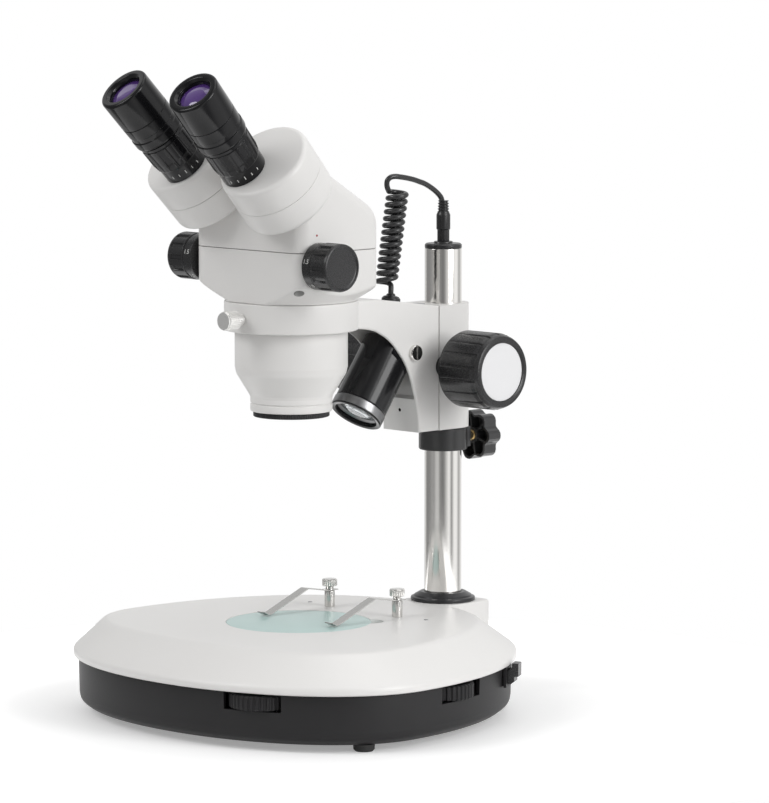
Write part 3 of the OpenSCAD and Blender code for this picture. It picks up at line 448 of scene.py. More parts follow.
def cut(made, cutters, union=False, lined=False):
    """takes cutter pieces out of a piece, or adds them; lined keeps a cutter's finish inside"""
    for tool in cutters:
        step = made.modifiers.new("cut", "BOOLEAN")
        step.material_mode = "TRANSFER" if lined else "INDEX"
        step.operation = "UNION" if union else "DIFFERENCE"
        step.solver = "EXACT"
        step.object = tool
    bpy.context.view_layer.update()
    whole = shaped(made)
    made.modifiers.clear()
    made.data = whole
    for tool in cutters:
        bpy.data.objects.remove(tool)
    whole.shade_smooth()
    whole.set_sharp_from_angle(angle=math.radians(SHARP))

def peg(r, low, high, place, around=64, finish=powder_coat):
    """a round cutter on local Z"""
    return turned("cutter", [(0, low), (r, low), (r, high), (0, high)], finish, None, place,
        around)

def slab(rings, place=None):
    """a cutter skinned over outlines"""
    return skinned("cutter", rings, powder_coat, None, place)

def block(x0, x1, y0, y1, z0, z1, place):
    """a box cutter"""
    return slab([[(x0, y0, z), (x1, y0, z), (x1, y1, z), (x0, y1, z)] for z in (z0, z1)], place)

print("cutters are removed again after each cut")

# %% [markdown]
# ## Lamp cord
# The spot lamp is fed by a thin curly cord that plugs into the top of the pillar. A curly cord
# is wound hot on a rod, so its turns are equal and lie close together, while its two ends
# relax. One centreline is worked out for the whole cord: up from the grommet, round into the
# first turn, through the turns, over the top and down into the plug. It is then cut into three
# lengths, because its ends belong to different moving parts.

# %% Centreline of the cord
CORD_THICK = 3.62
COIL_TURNS, COIL_STEPS, COIL_START = 13.5, 20, 45
COIL_FOOT, COIL_HEAD = np.array((0, 59.7, 280.3)), np.array((0, 70.5, 341.2))
COIL_REACH = 5.88
FIRST_WIDER, FIRST_LOWER = 0.3, 1.4     # how the relaxed first turn differs from the rest
LEAD_IN = 6                             # steps of the first turn that the tail takes over

def smooth_route(points, each=10):
    """a curve through the points that keeps their spacing"""
    p = [np.array(q, float) for q in points]
    p = [2 * p[0] - p[1]] + p + [2 * p[-1] - p[-2]]
    made = []
    for a, b, c, d in zip(p, p[1:], p[2:], p[3:]):
        for k in range(each):
            u = k / each
            made.append(0.5 * (2 * b + (c - a) * u + (2 * a - 5 * b + 4 * c - d) * u * u
                + (3 * b - 3 * c + d - a) * u ** 3))
    return made + [p[-2]]

coil = []
for k in range(LEAD_IN, int(COIL_TURNS * COIL_STEPS) + 1):
    share = k / (COIL_TURNS * COIL_STEPS)
    angle = math.radians(COIL_START) + 2 * math.pi * COIL_TURNS * share
    loose = max(0, 1 - k / COIL_STEPS)
    swell = math.sin(math.pi * min(1, k / COIL_STEPS))
    reach = COIL_REACH + FIRST_WIDER * loose * swell
    drop = FIRST_LOWER * swell * loose
    coil.append(COIL_FOOT + (COIL_HEAD - COIL_FOOT) * share
        + (reach * math.cos(angle), reach * math.sin(angle), -drop))
tail = smooth_route([(0, 64, 273.4), (0, 64.1, 275.5), (-0.3, 64.5, 277.5), (-1.4, 65.1, 279.2),
    (-3.5, 64.6, 280.3), *coil[:2]], 5)[:-6]
over = smooth_route([coil[-1], (-4.1, 64.9, 343.7), (-3.9, 64.2, 346.2), (-3.3, 64.3, 348.7),
    (-2.3, 66.2, 350.6), (-1.2, 69.6, 351.1), (-0.4, 74.2, 350.5), (0, 80, 349.5), (0, 86, 348.2),
    (0, 91, 346.7)], 5)
down = smooth_route([(0, 91, 346.7), (0, 95, 345.5), (0, 99, 343.8), (0, 103, 341.7),
    (0, 106.4, 339.6), (0, 109.2, 337.5), (0, 111.4, 335.4), (0, 112.5, 333.2), (0, 112.7, 331),
    (0, 112.8, 328)], 4)

def length_of(points):
    return sum(np.linalg.norm(np.subtract(b, a)) for a, b in zip(points, points[1:])) * MM

print("curly part and tail:", round(length_of(tail + coil), 3), "m, front arc:",
    round(length_of(over), 3), "m, rear arc:", round(length_of(down), 3), "m")

# %% Cord pieces
def cord_piece(name, points):
    """a round tube along the points, made into a mesh"""
    line = bpy.data.curves.new(name, "CURVE")
    line.dimensions = "3D"
    line.bevel_depth = CORD_THICK / 2 * MM
    line.bevel_resolution = 5
    line.use_fill_caps = True
    run = line.splines.new("POLY")
    run.points.add(len(points) - 1)
    for spot, p in zip(run.points, points):
        spot.co = (*(float(v) * MM for v in p), 1)
    run.use_smooth = True
    line.materials.append(cord_jacket)
    guide = placed(name, line)
    tube = shaped(guide)
    bpy.data.objects.remove(guide)
    made = placed(name, tube)
    tube.shade_smooth()
    return made

curly = cord_piece("curly_cord", tail + coil)
front_arc = cord_piece("cord_front_arc", over)
rear_arc = cord_piece("cord_rear_arc", down)
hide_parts("cord_coil", "cord_tail")
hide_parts("cord_arc_front")
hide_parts("cord_arc_rear")
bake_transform(curly)
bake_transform(front_arc)
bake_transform(rear_arc)
print("cord pieces:", [o.name for o in (curly, front_arc, rear_arc)])

# %% [markdown]
# ## Base shell
# The base is a shallow moulded dish with a flat stage on top. Seen from above it is a rounded
# shield: a short half oval in front and a longer one behind. Its outline is a superellipse, so
# a few numbers give a perfectly smooth edge. Each upright column of points gets its own
# rounded corners before the columns are skinned.

# %% Outlines of the base
PILLAR_Y, OPTIC_Y, PLATE_Y = 114.0, -28.0, -22.0
RIM = (148.0, 98.0, 185.0, 2.05, 2.0)       # half width, front and rear depth, powers
STAGE = (122.0, 67.0, 155.0, 2.33, 2.2)
RIM_Y, STAGE_SHIFT = -55.0, -3.0
STAGE_Z = 62.0
CLIP_X, CLIP_Y = 32, 38
TURN = np.arange(320) * 2 * math.pi / 320

def oval(angles, outline, inset):
    half, front, rear = (v - inset for v in outline[:3])
    s, c = np.sin(angles), np.cos(angles)
    power = np.where(s < 0, *outline[3:])
    depth = np.where(s < 0, front, rear)
    return np.stack([half * np.sign(c) * np.abs(c) ** (2 / power),
        depth * np.sign(s) * np.abs(s) ** (2 / power)], 1)

def rim_at(inset, z, outline=RIM):
    p = oval(TURN, outline, inset)
    return np.column_stack([p[:, 0], p[:, 1] + RIM_Y, np.full(len(p), z)])

def stage_at(inset, z):
    return rim_at(inset, z, STAGE) + (0, STAGE_SHIFT, 0)

def columns(outlines, radii, steps=5):
    """rounds every upright column of a stack of outlines"""
    stacks = [eased([(*ring[i], r) for ring, r in zip(outlines, radii)], 0, steps=steps)
        for i in range(len(outlines[0]))]
    return [np.array([stack[k] for stack in stacks]) for k in range(len(stacks[0]))]

print("rim width:", 2 * RIM[0], "mm, depth:", RIM[1] + RIM[2], "mm")

# %% Stage cover
shell = columns([rim_at(3.4, 37.5), rim_at(0.0, 37.5), rim_at(0.0, 42.2), stage_at(-0.8, 61.9),
    stage_at(9, STAGE_Z)], [0, 1.4, 4.5, 9.0, 0])
stage_cover = skinned("stage_cover", shell, powder_coat, "base")
foot = []
for z, q in ((37.6, 0), (STAGE_Z - 1.2, 0), (STAGE_Z - 0.3, 0.5), (STAGE_Z, 1.4)):
    corners = [(-22 + q, 60), (22 - q, 60), (22 - q, 137.5 - q), (-22 + q, 137.5 - q)]
    foot.append([(*p, z) for p in eased(corners, 3.2, closed=True)])
cut(stage_cover, [slab(foot)], union=True)
cut(stage_cover, [peg(47.9, STAGE_Z - 5.1, STAGE_Z + 5, at(0, PLATE_Y), 160),
    peg(44.2, 30, STAGE_Z, at(0, PLATE_Y), 128), peg(8, STAGE_Z - 3.2, STAGE_Z + 4, at(34, 12)),
    peg(12.56, 43, 70, at(0, PILLAR_Y))])
cut(stage_cover, [peg(2.02, STAGE_Z - 8, 70, at(x, CLIP_Y), 32) for x in (-CLIP_X, CLIP_X)]
    + [peg(1.55, STAGE_Z - 8, 70, at(x, 42), 32) for x in (-55, 55)])
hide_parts("base_cover")
print("stage cover points:", len(stage_cover.data.vertices))

# %% Lower pan with its windows
FRONT_WHEEL, SIDE_WHEEL, SWITCH, INLET = -59, 14, 37, 107      # degrees round the base
wall = columns([rim_at(13, 5), rim_at(9.5, 5), rim_at(4.7, 8.6), rim_at(4.0, 13),
    rim_at(3.5, 37.25), rim_at(6.4, 37.25), rim_at(7.4, 12.6), rim_at(8.6, 7.6), rim_at(13, 7.6)],
    [0, 2.5, 5, 3, 0.4, 0.4, 3, 1, 0], 3)
wall.append(wall[0])
lower_pan = skinned("lower_pan", wall, pan_plastic, "base", ends=False)

def wall_place(degrees, z):
    """local +X looks straight out of the pan's wall"""
    p = oval(np.radians([degrees, degrees - 0.5, degrees + 0.5]), RIM, 3.5)
    way = math.atan2(*(p[2] - p[1])[::-1]) - math.pi / 2
    return at(p[0][0], p[0][1] + RIM_Y, z) @ Matrix.Rotation(way, 4, "Z")

cut(lower_pan, [block(-8, 8, -20, 20, 0, 20, wall_place(FRONT_WHEEL, 25.7)),
    block(-8, 8, -22, 22, 0, 20, wall_place(SIDE_WHEEL, 25.7)), block(-8, 8, -6.6, 6.6, 0, 12.2,
    wall_place(SWITCH, 24.5)), peg(6.05, -12, 8, wall_place(INLET, 24.5) @ tipped(90, "Y"))])
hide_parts("base_pan")
print("pan points:", len(lower_pan.data.vertices))

# %% [markdown]
# ## Dimmer wheels
# Two flat thumb wheels lie in windows of the pan, one for the light below the stage and one
# for the spot lamp. Their edges are cut into ribs.

# %% Dimmer wheels
WHEEL_RIBS = 38

def dimmer_wheel(name, degrees, body, node):
    place = wall_place(degrees, 26.3) @ at(-17.5)
    profile = eased([(3.1, 7.4), (3.1, 0), (20.9, 0), (22, 0.7), (22, 8.9), (20.9, 9.6), (14, 9.6),
        (13.6, 8.4), (0, 8.4)], 0.25, steps=2)

    def ribs(a, r, z):
        return r - (np.clip(np.cos(a * WHEEL_RIBS) * 3, -1, 1) + 1) * 0.42 * (r > 20.5)

    made = turned(name, profile, pan_plastic, body, place, WHEEL_RIBS * 12, ribs)
    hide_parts(node)

dimmer_wheel("stage_light_wheel", FRONT_WHEEL, "front_wheel", "front_dimmer")
dimmer_wheel("spot_light_wheel", SIDE_WHEEL, "side_wheel", "side_dimmer")
print("ribs on each wheel:", WHEEL_RIBS)

# %% [markdown]
# ## Stage plate and clips
# A disc of ground glass lies flush in the stage, and two spring clips on nickel posts hold the
# specimen on it. A clip is a strip of spring steel, bent twice and turned up at the tip so
# that it slides onto a slide without scratching.

# %% Stage plate
PLATE_R = 47.75
plate = eased([(0, 57), (PLATE_R, 57), (PLATE_R, STAGE_Z), (0, STAGE_Z)], 0.9)
stage_plate = turned("stage_plate", plate, frosted_glass, "base", at(0, PLATE_Y),
    160)
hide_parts("stage_glass")
print("plate diameter:", 2 * PLATE_R, "mm")

# %% Clip posts and blades
SIDES = ((1, "right"), (-1, "left"))
HALF_THICK = 0.3

def knurled(a, r, z):
    return r - (0.28 * np.abs(np.sin(a * 12)) ** 0.5 if 76.2 < z < 80.2 else 0) * np.ones(len(a))

post = eased([(0, 55), (2, 55), (2, 62.02), (3.5, 62.02), (3.5, 72.7), (2.7, 73), (2.7, 75.4),
    (3.4, 75.8), (5, 76.1), (5, 80.3), (4.5, 80.8), (0, 80.8)], 0.3, steps=3)
line = eased([(4.6, 11.5), (-4, 11.5), (-23, 14.8), (-57.7, 1.02), (-59.5, 0.98), (-63.3, 2.9)],
    3.0, steps=6)
upper, lower = [], []
for i, p in enumerate(line):
    run = line[min(i + 1, len(line) - 1)] - line[max(i - 1, 0)]
    up = np.array((run[1], -run[0])) / np.linalg.norm(run)
    upper.append(p + up * HALF_THICK)
    lower.append(p - up * HALF_THICK)
edge = upper + lower[::-1]
middle = [(a + b) / 2 for a, b in zip(edge, edge[::-1])]
strip = [[(x, *(p + (m - p) * (k / HALF_THICK))) for p, m in zip(edge, middle)] for x,
    k in ((-3.75, 0.12), (-3.63, 0), (3.63, 0), (3.75, 0.12))]
posts = [turned("clip_post_" + label, post, nickel, "base",
    at(side * CLIP_X, CLIP_Y), 24 * 8, knurled) for side, label in SIDES[::-1]]
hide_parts("clip_posts")
for side, label in SIDES[::-1]:
    blade = skinned("clip_blade_" + label + "_strip", strip, spring_steel, "clip_" + label,
        at(side * CLIP_X, CLIP_Y, STAGE_Z))
    cut(blade, [peg(2.78, 60, 80, at(side * CLIP_X, CLIP_Y), 48)])
    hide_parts("clip_blade_" + label)
blade_length = sum(np.linalg.norm(b - a) for a, b in zip(line, line[1:]))
print("blade length:", round(blade_length, 1), "mm")

# %% [markdown]
# ## Pillar
# The pillar is a drawn steel tube, ground along its length, and stands in a black flange. Its
# top is closed by a plastic cap that holds the socket for the lamp's plug.

# %% Pillar, flange and cap
UP = at(0, PILLAR_Y)
line = eased([(0, 43.2), (12.5, 43.2), (12.5, 301), (10, 301), (10, 290), (0, 290)], 0.5)
pillar_tube = turned("pillar_tube", line, pillar_steel, "base", UP, 160)
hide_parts("pillar")
line = eased([(12.54, 62.02), (21.9, 62.02), (21.7, 64.4), (19.9, 64.9), (19.3, 65.8), (15.4, 68),
    (12.54, 68)], 0.7, closed=True)
flange = turned("flange", line, anodised, "base", UP, closed=True)
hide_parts("pillar_flange")
line = eased([(0, 292), (9.9, 292), (9.9, 301.05), (12.5, 301.05), (12.5, 303.4), (11.4, 304.3),
    (6.6, 304.3), (6.2, 305.6), (2.8, 305.6), (2.8, 296), (0, 296)], 0.5)
cap = turned("socket_cap", line, knob_plastic, "base", UP, 96)
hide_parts("pillar_cap")
print("pillar diameter: 25 mm, socket bore: 5.6 mm")

# %% [markdown]
# ## Plug
# The moulded plug has a barrel with fine grip ribs and a stepped sleeve above it. The sleeve
# bends a little more at each step, so the cord never kinks where it comes out.

# %% Cord plug
PLUG_SEAT, PLUG_TOP = 305.7, 333
SLEEVE_FOOT, SLEEVE_STEP = 325.9, 1.85

def gripped(a, r, z):
    return r - 0.16 * (np.cos(a * 16) > 0) * (314.8 < z < 322.6) * (r > 4.4)

line = [(0, 296), (2.75, 296), (2.75, PLUG_SEAT), (4.1, PLUG_SEAT), (4.1, 313.2), (4.7, 313.9),
    (4.7, 323.4), (3.95, 325.1)]
for step in range(4):
    low = SLEEVE_FOOT + step * SLEEVE_STEP
    r = 3.9 - step * 0.08
    line += [(r, low - 0.2), (r - 0.7, low + 0.1), (r - 0.7, low + 0.75), (r - 0.08, low + 0.95)]
line += [(3.5, PLUG_TOP), (0, PLUG_TOP)]
plug = turned("lamp_plug", eased(line, 0.25, steps=3), knob_plastic, "base", UP,
    64, gripped)
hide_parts("cord_plug")
print("plug length:", round(PLUG_TOP - PLUG_SEAT, 1), "mm above its socket")

# %% [markdown]
# ## Zoom head
# The head is a cast box in two halves. Its lower half changes from a soft rectangle into the
# round seat in the arm's ring, and that change is a cone: each direction round the optical
# axis has a sloping line that meets the upright wall. The upper half has a sloping back and
# two faces that carry the viewing tubes. Its skin is found by shooting lines from one point
# inside until they reach the surface, and the surface is a set of plain faces with a round
# blend between them.

# %% Head outline
HEAD = (52.0, -68.0, 5.0, 11.0)         # half width, front, back, corner radius
SEAM = 310.0

def box_gap(x, y):
    """distance outside the head's rounded rectangle, negative inside"""
    half, front, back, corner = HEAD
    qx = np.abs(x) - (half - corner)
    qy = np.abs(y - (front + back) / 2) - ((back - front) / 2 - corner)
    outside = np.hypot(np.maximum(qx, 0), np.maximum(qy, 0))
    return outside + np.minimum(np.maximum(qx, qy), 0) - corner

def reach_of(gap, start, ways, far=160.0, rounds=34):
    """how far each line runs from start before it leaves the shape"""
    low, high = np.zeros(len(ways)), np.full(len(ways), far)
    for _ in range(rounds):
        middle = (low + high) / 2
        inside = gap(start + ways * middle[:, None]) < 0
        low, high = np.where(inside, middle, low), np.where(inside, high, middle)
    return low

def ways_at(rise):
    """one direction for each step of the turn, all rising by the same angle"""
    return np.column_stack([np.cos(TURN) * math.cos(rise), np.sin(TURN) * math.cos(rise),
        np.full(len(TURN), math.sin(rise))])

wall_reach = reach_of(lambda p: box_gap(p[:, 0], p[:, 1]), np.array((0, OPTIC_Y, 0)), ways_at(0))
print("head reach from the optical axis, mm:", round(wall_reach.min(), 1), "to",
    round(wall_reach.max(), 1))

# %% Lower half of the head
SEAT_R, SEAT_Z, CONE_SLOPE = 43.5, 276.2, 1.583

def round_at(reach, z):
    return np.column_stack([reach * np.cos(TURN), OPTIC_Y + reach * np.sin(TURN),
        np.full(len(TURN), 0.0) + z])

def within(r):
    return np.minimum(r, wall_reach)

cone_top = SEAT_Z + np.maximum(wall_reach - SEAT_R, 0) / CONE_SLOPE
shell = columns([round_at(within(38.0), 262), round_at(within(38.0), 275.2),
    round_at(within(43.3), 275.2), round_at(within(SEAT_R), SEAT_Z),
    round_at(wall_reach, cone_top + 0.05), round_at(wall_reach, SEAM - 0.2),
    round_at(wall_reach - 3, SEAM - 0.2)], [0, 0.3, 0.5, 0.6, 3.5, 0.35, 0])
lower_head = skinned("head_lower_half", shell, powder_coat, "head")
# The screw holes are lined with that darker grey, partly bare metal and partly painted shade for
# the shadow inside them.
cut(lower_head, [peg(3.4, 270, 300, at(x, y), 40, bare_metal_and_shade) for x in (-43.5, 43.5)
    for y in (-62.8, -0.2)], lined=True)
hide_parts("head_lower")
print("lower half points:", len(lower_head.data.vertices))

# %% Upper half of the head
DRUM_X, DRUM_Y, DRUM_Z, DRUM_R = 33.4, -60.9, 342.5, 31.0
DRUM_TILT, DRUM_TOE = 43.6, 4.3

def drum_place(side):
    return at(side * DRUM_X, DRUM_Y, DRUM_Z) @ tipped(DRUM_TILT, "X") @ tipped(side * DRUM_TOE, "Y")

def blend_of(a, b, r):
    """the part inside both shapes, with a round edge of radius r"""
    return np.minimum(-r, np.maximum(a, b)) + np.hypot(np.maximum(a + r, 0), np.maximum(b + r, 0))

seat_way = np.array(drum_place(1).to_3x3() @ Vector((0, 0, 1)))

def upper_gap(p):
    x, y, z = p.T
    back_slope = (y + 3.6) * 0.513 + (z - 339.0) * 0.858
    seats = ((np.abs(x) - DRUM_X) * seat_way[0] + (y - DRUM_Y) * seat_way[1]
        + (z - DRUM_Z) * seat_way[2] + 0.3)
    hull = blend_of(box_gap(x, y), back_slope, 9.0)
    hull = blend_of(hull, z - 362.0, 2.0)
    return blend_of(hull, seats, 1.2)

heart = np.array((0, OPTIC_Y - 2, SEAM + 0.2))
skins = []
for rise in np.radians(np.concatenate([np.linspace(0, 60, 84), np.linspace(61, 89, 29)])):
    ways = ways_at(rise)
    skins.append(heart + ways * reach_of(upper_gap, heart, ways)[:, None])
first = skins[0] + (0, 0, 0.35)
inner = skins[0] + (heart - skins[0]) * 0.006
upper_head = skinned("head_upper_half", [inner, first] + skins[1:], powder_coat, "head",
    smooth=38)
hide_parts("head_upper")
print("upper half height:", round(max(s[:, 2].max() for s in skins) - SEAM, 1), "mm")

# %% Zoom mark
turned("zoom_mark", eased([(0, 0), (0.75, 0), (0.75, 0.12), (0, 0.12)], 0.05), mark_red, "head",
    at(51.98, -55, 321.4) @ sideways(1), 32)
print("zoom mark diameter:", 1.5, "mm")

# %% [markdown]
# ## Objective
# Below the ring hangs the objective: a wide barrel that narrows in a soft shoulder to a foot
# with a groove. A black ring closes its thread.

# %% Objective barrel
AXIS = at(0, OPTIC_Y)

def milled(a, r, z):
    return r - 0.22 * (np.cos(a * 120) > 0) * (r > 24.7)

line = eased([(24.05, 202.5), (26.5, 202.5), (26.9, 203.4), (26.9, 207.1), (26.2, 207.5),
    (26.2, 208.0), (26.9, 208.4), (26.9, 211.6, 1.5), (27.6, 213.4, 3), (36.1, 227.4, 9),
    (37.0, 232, 6), (37.0, 256.6), (35.0, 256.8), (35, 262), (32.5, 262)], 0.3, steps=5)
barrel = turned("objective_shell", [(24.05, 213)] + line, powder_coat, "head", AXIS,
    160, closed=True)
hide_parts("objective_barrel")
line = eased([(21.5, 212), (21.5, 199.4), (22.2, 198.9), (24.6, 198.9), (25.0, 199.3),
    (25.0, 201.8), (24.6, 202.2), (24.0, 202.3), (24.0, 212)], 0.15, closed=True, steps=2)
thread_ring = turned("thread_ring", line, anodised, "head", AXIS, 480, milled,
    closed=True)
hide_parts("objective_ring")
print("barrel diameter:", 74, "mm, foot diameter:", 53.8, "mm")

# %% [markdown]
# ## Prism housings
# Each viewing tube stands on a round housing of two shells. The whole housing turns on the
# head, so the eyepieces swing to the user's eye distance. A hairline shows where the shells
# meet.

# %% Prism housings
foot_line = eased([(0, 0), (DRUM_R, 0, 4.2), (DRUM_R, 19.35, 0.3), (24, 19.35)], 0.3, steps=8)
lid_line = eased([(24, 19.5), (DRUM_R, 19.5, 0.3), (DRUM_R, 38.8, 3.8), (0, 38.8)], 0.3, steps=8)
for side, label in SIDES:
    foot = turned("prism_shell_" + label, foot_line, powder_coat, "drum_" + label,
        drum_place(side), 160)
    lid = turned("prism_lid_" + label, lid_line, powder_coat, "drum_" + label,
        drum_place(side), 160)
    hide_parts("prism_drum_" + label)
    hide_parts("drum_cover_" + label)
print("housing diameter:", 2 * DRUM_R, "mm")

# %% [markdown]
# ## Eyepieces
# An eyepiece is turned from aluminium and lacquered black. A fluted ring at its foot turns to
# match the user's eye. The eyepiece has a broad, rounded rim, and the eye lens with its violet
# coating lies just inside it.

# %% Eyepieces and their rings
def tube_place(side):
    return drum_place(side) @ at(side * -9.1, -10.2, 38.8)

def fluted(a, r, z):
    flute = np.clip(1.35 - 2.4 * np.abs(np.cos(a * 8)) ** 8, 0, 1)
    along = np.clip((z - 10.2) / 2.5, 0, 1), np.clip((27.9 - z) / 0.8, 0, 1)
    return r - 0.75 * flute * along[0] * along[1] * (r > 15.3)

tube_line = eased([(8.4, 6), (11.5, 6), (11.5, 22.6), (14, 22.8), (14, 31.4), (17.0, 31.4),
    (17.2, 32.4), (17.2, 37.2), (16.5, 37.7), (16.5, 40.6), (16.9, 41.0), (17.0, 48.6, 0.1),
    (16.6, 48.8, 0.1), (16.6, 49.1, 0.1), (17.0, 49.3, 0.1), (17.0, 72.0, 2.2), (12.7, 71.9, 1.2),
    (11.2, 70.2, 0.6), (10.8, 69.0, 0.3), (10.8, 60.5), (8.4, 60)], 0.2, closed=True, steps=6)
ring_line = eased([(13.5, 0.2), (15.0, 0.2), (15.0, 9.3), (15.6, 10.6, 0.8), (16.2, 14.4, 0.8),
    (16.4, 15.6), (16.4, 27.6), (15.8, 28.2), (15.9, 30.3), (14.1, 30.4), (14.1, 23), (13.5, 22.6)],
    0.3, closed=True, steps=4)
lens_line = eased([(0, 61.4), (10.76, 61.4), (10.76, 67.6), (6.5, 69.0, 9), (0, 69.5)], 0.3,
    steps=8)
TICK_R, TICK_APART, TICK_HALF = 15.03, 0.34, 0.016
for side, label in SIDES:
    place = tube_place(side)
    tube = turned("eyepiece_tube_" + label, tube_line, eye_lacquer, "eyepiece_" + label,
        place, 160, closed=True)
    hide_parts("eyepiece_" + label)
    ring = turned("diopter_ring_" + label, ring_line, eye_lacquer, "diopter_" + label,
        place, 24 * 16, fluted, closed=True)
    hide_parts("diopter_" + label)
    lens = turned("eye_lens_" + label + "_glass", lens_line, violet_glass, "eyepiece_" + label,
        place, 96)
    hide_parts("eye_lens_" + label)
    local = place.to_3x3().inverted() @ -LOOK
    front = math.atan2(local.y, local.x)
    points = []
    for step in range(-2, 3):
        a, top = front + step * TICK_APART - 0.15, 5.6 + 0.5 * (step == 0)
        points += [(TICK_R * math.cos(a + by), TICK_R * math.sin(a + by), z) for by,
            z in ((-TICK_HALF, 3.6), (TICK_HALF, 3.6), (TICK_HALF, top), (-TICK_HALF, top))]
    faces = [tuple(range(k, k + 4)) for k in range(0, len(points), 4)]
    piece("diopter_ticks_" + label, points, faces, tick_white, "diopter_" + label,
        place)
print("eyepiece length:", 72, "mm, ticks on each ring:", len(faces))

# %% [markdown]
# ## Zoom knobs
# The zoom knobs sit at both ends of one shaft through the head. Each has a smooth ring with
# the magnification numbers, a grip with narrow slots, and a dished cap.

# %% Zoom knobs with their numbers
def number_on_ring(label, text, r, height, place, body, angle, x, side, raised=0.13):
    """plain figures laid round a cylinder on local Z"""
    curve = bpy.data.curves.new("figures", "FONT")
    curve.body = text
    curve.size = height
    curve.align_x, curve.align_y = "CENTER", "CENTER"
    made = placed("figures", curve)
    bpy.context.view_layer.update()
    flat = shaped(made)
    bpy.data.objects.remove(made)
    points = []
    for v in flat.vertices:
        a = angle - side * v.co.y / r
        points.append(((r + raised) * math.cos(a), (r + raised) * math.sin(a), x + side * v.co.x))
    faces = [tuple(p.vertices) for p in flat.polygons]
    piece(label, points, faces, tick_white, body, place)

ZOOM = at(0, -54.2, 301.7)
RING_R, RING_MIDDLE, FIGURE_SIZE = 15.2, 56.2, 4.1
line = eased([(3.02, 52), (3.02, 52.4), (14.9, 52.4), (15.2, 52.8), (15.2, 59.3), (14.7, 59.6),
    (14.7, 59.8), (15.5, 60.2), (15.5, 60.8, 0.05), (15.5, 61.7, 0.05), (15.5, 71.7, 0.05),
    (15.5, 72.6, 0.05), (15.5, 73.0, 0.4), (15.1, 74.4, 0.7), (13.9, 74.7, 0.4), (13.4, 73.9, 0.3),
    (12.8, 73.7, 0.5), (7, 73.2, 7), (0, 73.1)], 0.2, steps=4)
for side, label in SIDES:
    place = ZOOM @ sideways(side)
    grip = turned("zoom_grip_" + label, line, knob_plastic, "zoom_drive", place,
        12 * 40, slots_pressed(12, 3.0, 1.25, 60.8, 72.6))
    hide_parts("zoom_knob_" + label)
    for k, text in enumerate(("1.0", "1.5", "2.0", "3.0", "4.0")):
        number_on_ring("zoom_figure_%s_%d" % (label, k), text, RING_R, FIGURE_SIZE, place,
            "zoom_drive", -1.57 - side * 0.26 - side * (k - 1) * 1.15, RING_MIDDLE, side)
print("zoom knob diameter:", 31, "mm")

# %% [markdown]
# ## Focus knobs
# The coarse focus knobs are the largest things to grip, with eighteen slots and a white disc
# let into each face.

# %% Focus knobs
FOCUS = at(0, 96.7, 223.5)
line = eased([(2.25, 37.4), (9, 37.4), (9, 35.4), (23.6, 35.4), (24.4, 36.2), (24.4, 38),
    (25.2, 38.3), (25.6, 38.8), (25.6, 66.0), (24.6, 68.4, 0.8), (24.6, 69.4), (23.6, 71.6, 1.2),
    (21.4, 72.1, 1.0), (19.4, 71.5, 0.6), (19.4, 70.0), (2.25, 70.0)], 0.35, closed=True, steps=5)
disc_line = eased([(0, 70.05), (19.3, 70.05), (19.3, 71.2, 0.4), (12, 71.25), (0, 71.3)], 0.2)
for side, label in SIDES:
    place = FOCUS @ sideways(side)
    grip = turned("focus_grip_" + label, line, knob_plastic, "focus_drive", place,
        18 * 40, slots_pressed(18, 1.5, 1.1, 39.2, 68.8), closed=True)
    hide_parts("focus_knob_" + label)
    turned("focus_disc_" + label, disc_line, disc_white, "focus_drive",
        place)
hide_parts("focus_discs")
print("focus knob diameter:", 51.2, "mm, slots:", 18)

# %% [markdown]
# ## Spot lamp
# The lamp is a lacquered tube that tilts between the arm's cheeks. A satin ring holds its lens,
# and a bright reflector behind the lens gathers the light of a yellow chip.

# %% Spot lamp
LAMP_TILT, FLAT_TILT = 35.9, 15.1
LAMP = at(0, 30.9, 193.9) @ tipped(-LAMP_TILT, "X")
line = eased([(13.6, 7.6), (17.6, 7.6), (17.8, 8.2), (17.8, 54), (14.9, 56.5), (14.9, 60),
    (13.6, 61.6), (0, 61.6), (0, 38), (13.6, 38)], 0.4)
tube = turned("lamp_tube", line, lamp_lacquer, "lamp", LAMP, closed=True)
flat = LAMP @ at(0, 0, 41.9) @ tipped(-FLAT_TILT, "X")
cut(tube, [block(15, 30, -40, 40, 0, 40, flat), block(-30, -15, -40, 40, 0, 40, flat)])
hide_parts("lamp_barrel")
line = eased([(15.2, 1.2), (18.0, 1.2), (18.2, 1.5), (18.2, 6.9), (17.6, 7.4), (14.1, 7.4),
    (14.1, 11), (13.2, 11), (13.2, 4.6), (15.2, 3.4)], 0.25, closed=True)
mouth = turned("lamp_mouth", line, lamp_satin, "lamp", LAMP, closed=True)
line = eased([(15.0, 0.4), (17.4, 0), (18.15, 0.5), (18.15, 1.15), (15.15, 1.15), (15.15, 3.3),
    (14.9, 3.3)], 0.25, closed=True)
turned("lamp_lip", line, lamp_lacquer, "lamp", LAMP, closed=True)
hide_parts("lamp_ring")
line = eased([(4.6, 36), (9, 27, 6), (12.2, 14, 4), (13.1, 7.6)], 0.3)
turned("lamp_reflector", line, bright, "lamp", LAMP, 96)
line = eased([(0, 1.8), (7, 2.4, 9), (13.1, 5.2), (13.1, 7.2), (0, 7.2)], 0.3, steps=8)
lens = turned("lamp_lens_glass", line, clear_glass, "lamp", LAMP, 96)
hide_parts("lamp_lens")
print("lamp tilt:", LAMP_TILT, "degrees from upright")

# %% [markdown]
# ## Arm
# The arm is one casting: a ring that holds the head, a bridge, and a leg that slides on the
# carrier. Seen from the side its underside is a long arch in which the lamp hangs. The outline
# is drawn once, and each slice across the arm is that outline drawn in a little, so the edges
# along the cheeks come out round. The ring is turned and joined on.

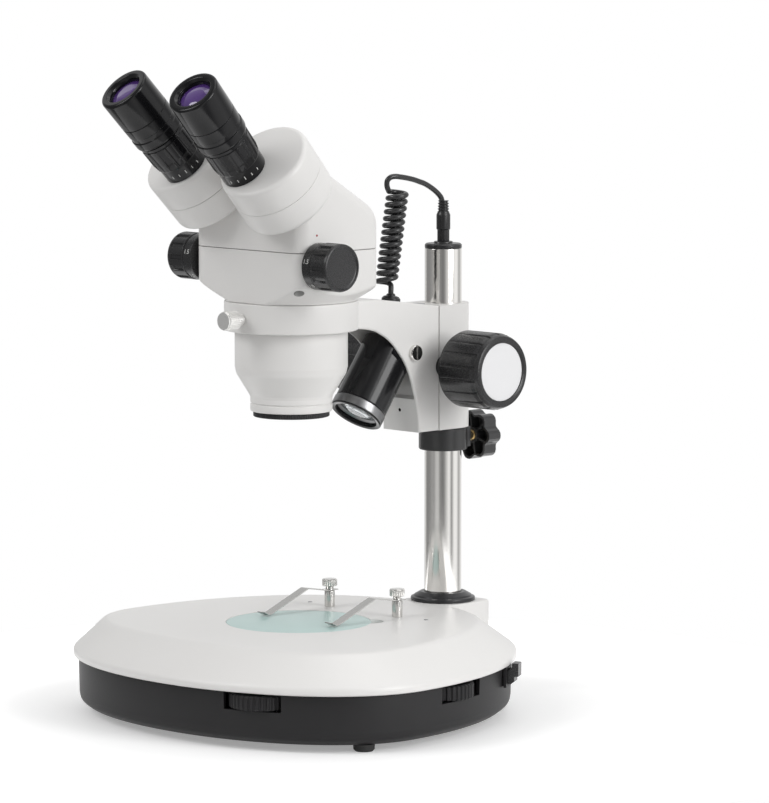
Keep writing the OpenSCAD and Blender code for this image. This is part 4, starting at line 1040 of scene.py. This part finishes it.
# %% Arm outline
ARM_HALF, ARM_EDGE = 17.2, 1.5
arch = [(8, 252.5), (15.8, 253.8), (30.1, 251.9), (38, 248.9), (44.4, 245.3), (50, 240.8),
    (55, 235.2), (59.3, 230), (62.9, 224.3), (66, 217.6), (68.2, 210.8), (70.6, 203.6),
    (72.2, 196.3), (73.2, 189.6), (73.5, 183), (73.5, 180.5)]
back_and_top = [(92.85, 180.5), (92.85, 264.2), (74.8, 266.8), (59.1, 269), (35.7, 272.2),
    (16.6, 272.6), (8, 272.6)]
arm_outline = np.array([tuple(p) for p in smooth_route(arch, 3)] + back_and_top)

def drawn_in(outline, by):
    """moves a closed outline inwards by a distance"""
    back, ahead = outline - np.roll(outline, 1, 0), np.roll(outline, -1, 0) - outline
    back /= np.linalg.norm(back, axis=1)[:, None] + 1e-12
    ahead /= np.linalg.norm(ahead, axis=1)[:, None] + 1e-12
    way = np.stack([-(back + ahead)[:, 1], (back + ahead)[:, 0]], 1)
    way /= np.linalg.norm(way, axis=1)[:, None] + 1e-12
    open_by = 1 / np.maximum(0.4, (1 + (back * ahead).sum(1)) / 2) ** 0.5
    return outline + way * by * open_by[:, None]

def cheeks(outline, half, edge):
    """slices across the arm: drawn in at both faces by a quarter round"""
    bends = [math.radians(15 * k) for k in range(6, -1, -1)]
    steps = [(-half + edge * (1 - math.sin(a)), edge * (1 - math.cos(a))) for a in bends]
    steps += [(-x, by) for x, by in steps[::-1]]
    return [np.column_stack([np.full(len(outline), x), drawn_in(outline, by)]) for x, by in steps]

print("points in the arm's outline:", len(arm_outline))

# %% Arm casting
LAMP_PEG = at(0, 69.1, 234.5) @ sideways(1)
arm_casting = skinned("arm_casting", cheeks(arm_outline, ARM_HALF, ARM_EDGE), powder_coat, "arm")
pocket = [(22, 205), (66, 199), (73.2, 205), (74.3, 216), (83.5, 232), (83.5, 250), (76, 259.6),
    (24, 259.6)]
cut(arm_casting, [slab([[(x, *p) for p in pocket] for x in (-15.4, 15.4)])])
line = eased([(30, 255.8), (43.9, 255.8, 0.9), (43.9, 275, 0.9), (30, 275)], 0.3, closed=True)
head_ring = turned("cutter", line, powder_coat, None, AXIS, 192, closed=True)
cut(arm_casting, [head_ring], union=True)
rail = [(-9.75, 94), (-9.75, 92.88), (-13, 86.2), (13, 86.2), (9.75, 92.88), (9.75, 94)]
cut(arm_casting, [peg(38.05, 240, 290, AXIS, 192), slab([[(*p, z) for p in rail]
    for z in (170, 290)]), peg(3.45, 255, 290, at(0, 64), 40), peg(4.6, -19, 19, LAMP_PEG, 64),
    peg(3.05, 0, 24, at(0, -78, 265) @ tipped(-90, "X"), 40)])
# The small hole in the leg is lined with black plastic: painted shade for the shadow inside it.
cut(arm_casting, [peg(1.2, 0, 12, at(0, 70, 194.7) @ tipped(-90, "X"), 24, pan_plastic)],
    lined=True)
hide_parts("arm")
print("arm casting points:", len(arm_casting.data.vertices))
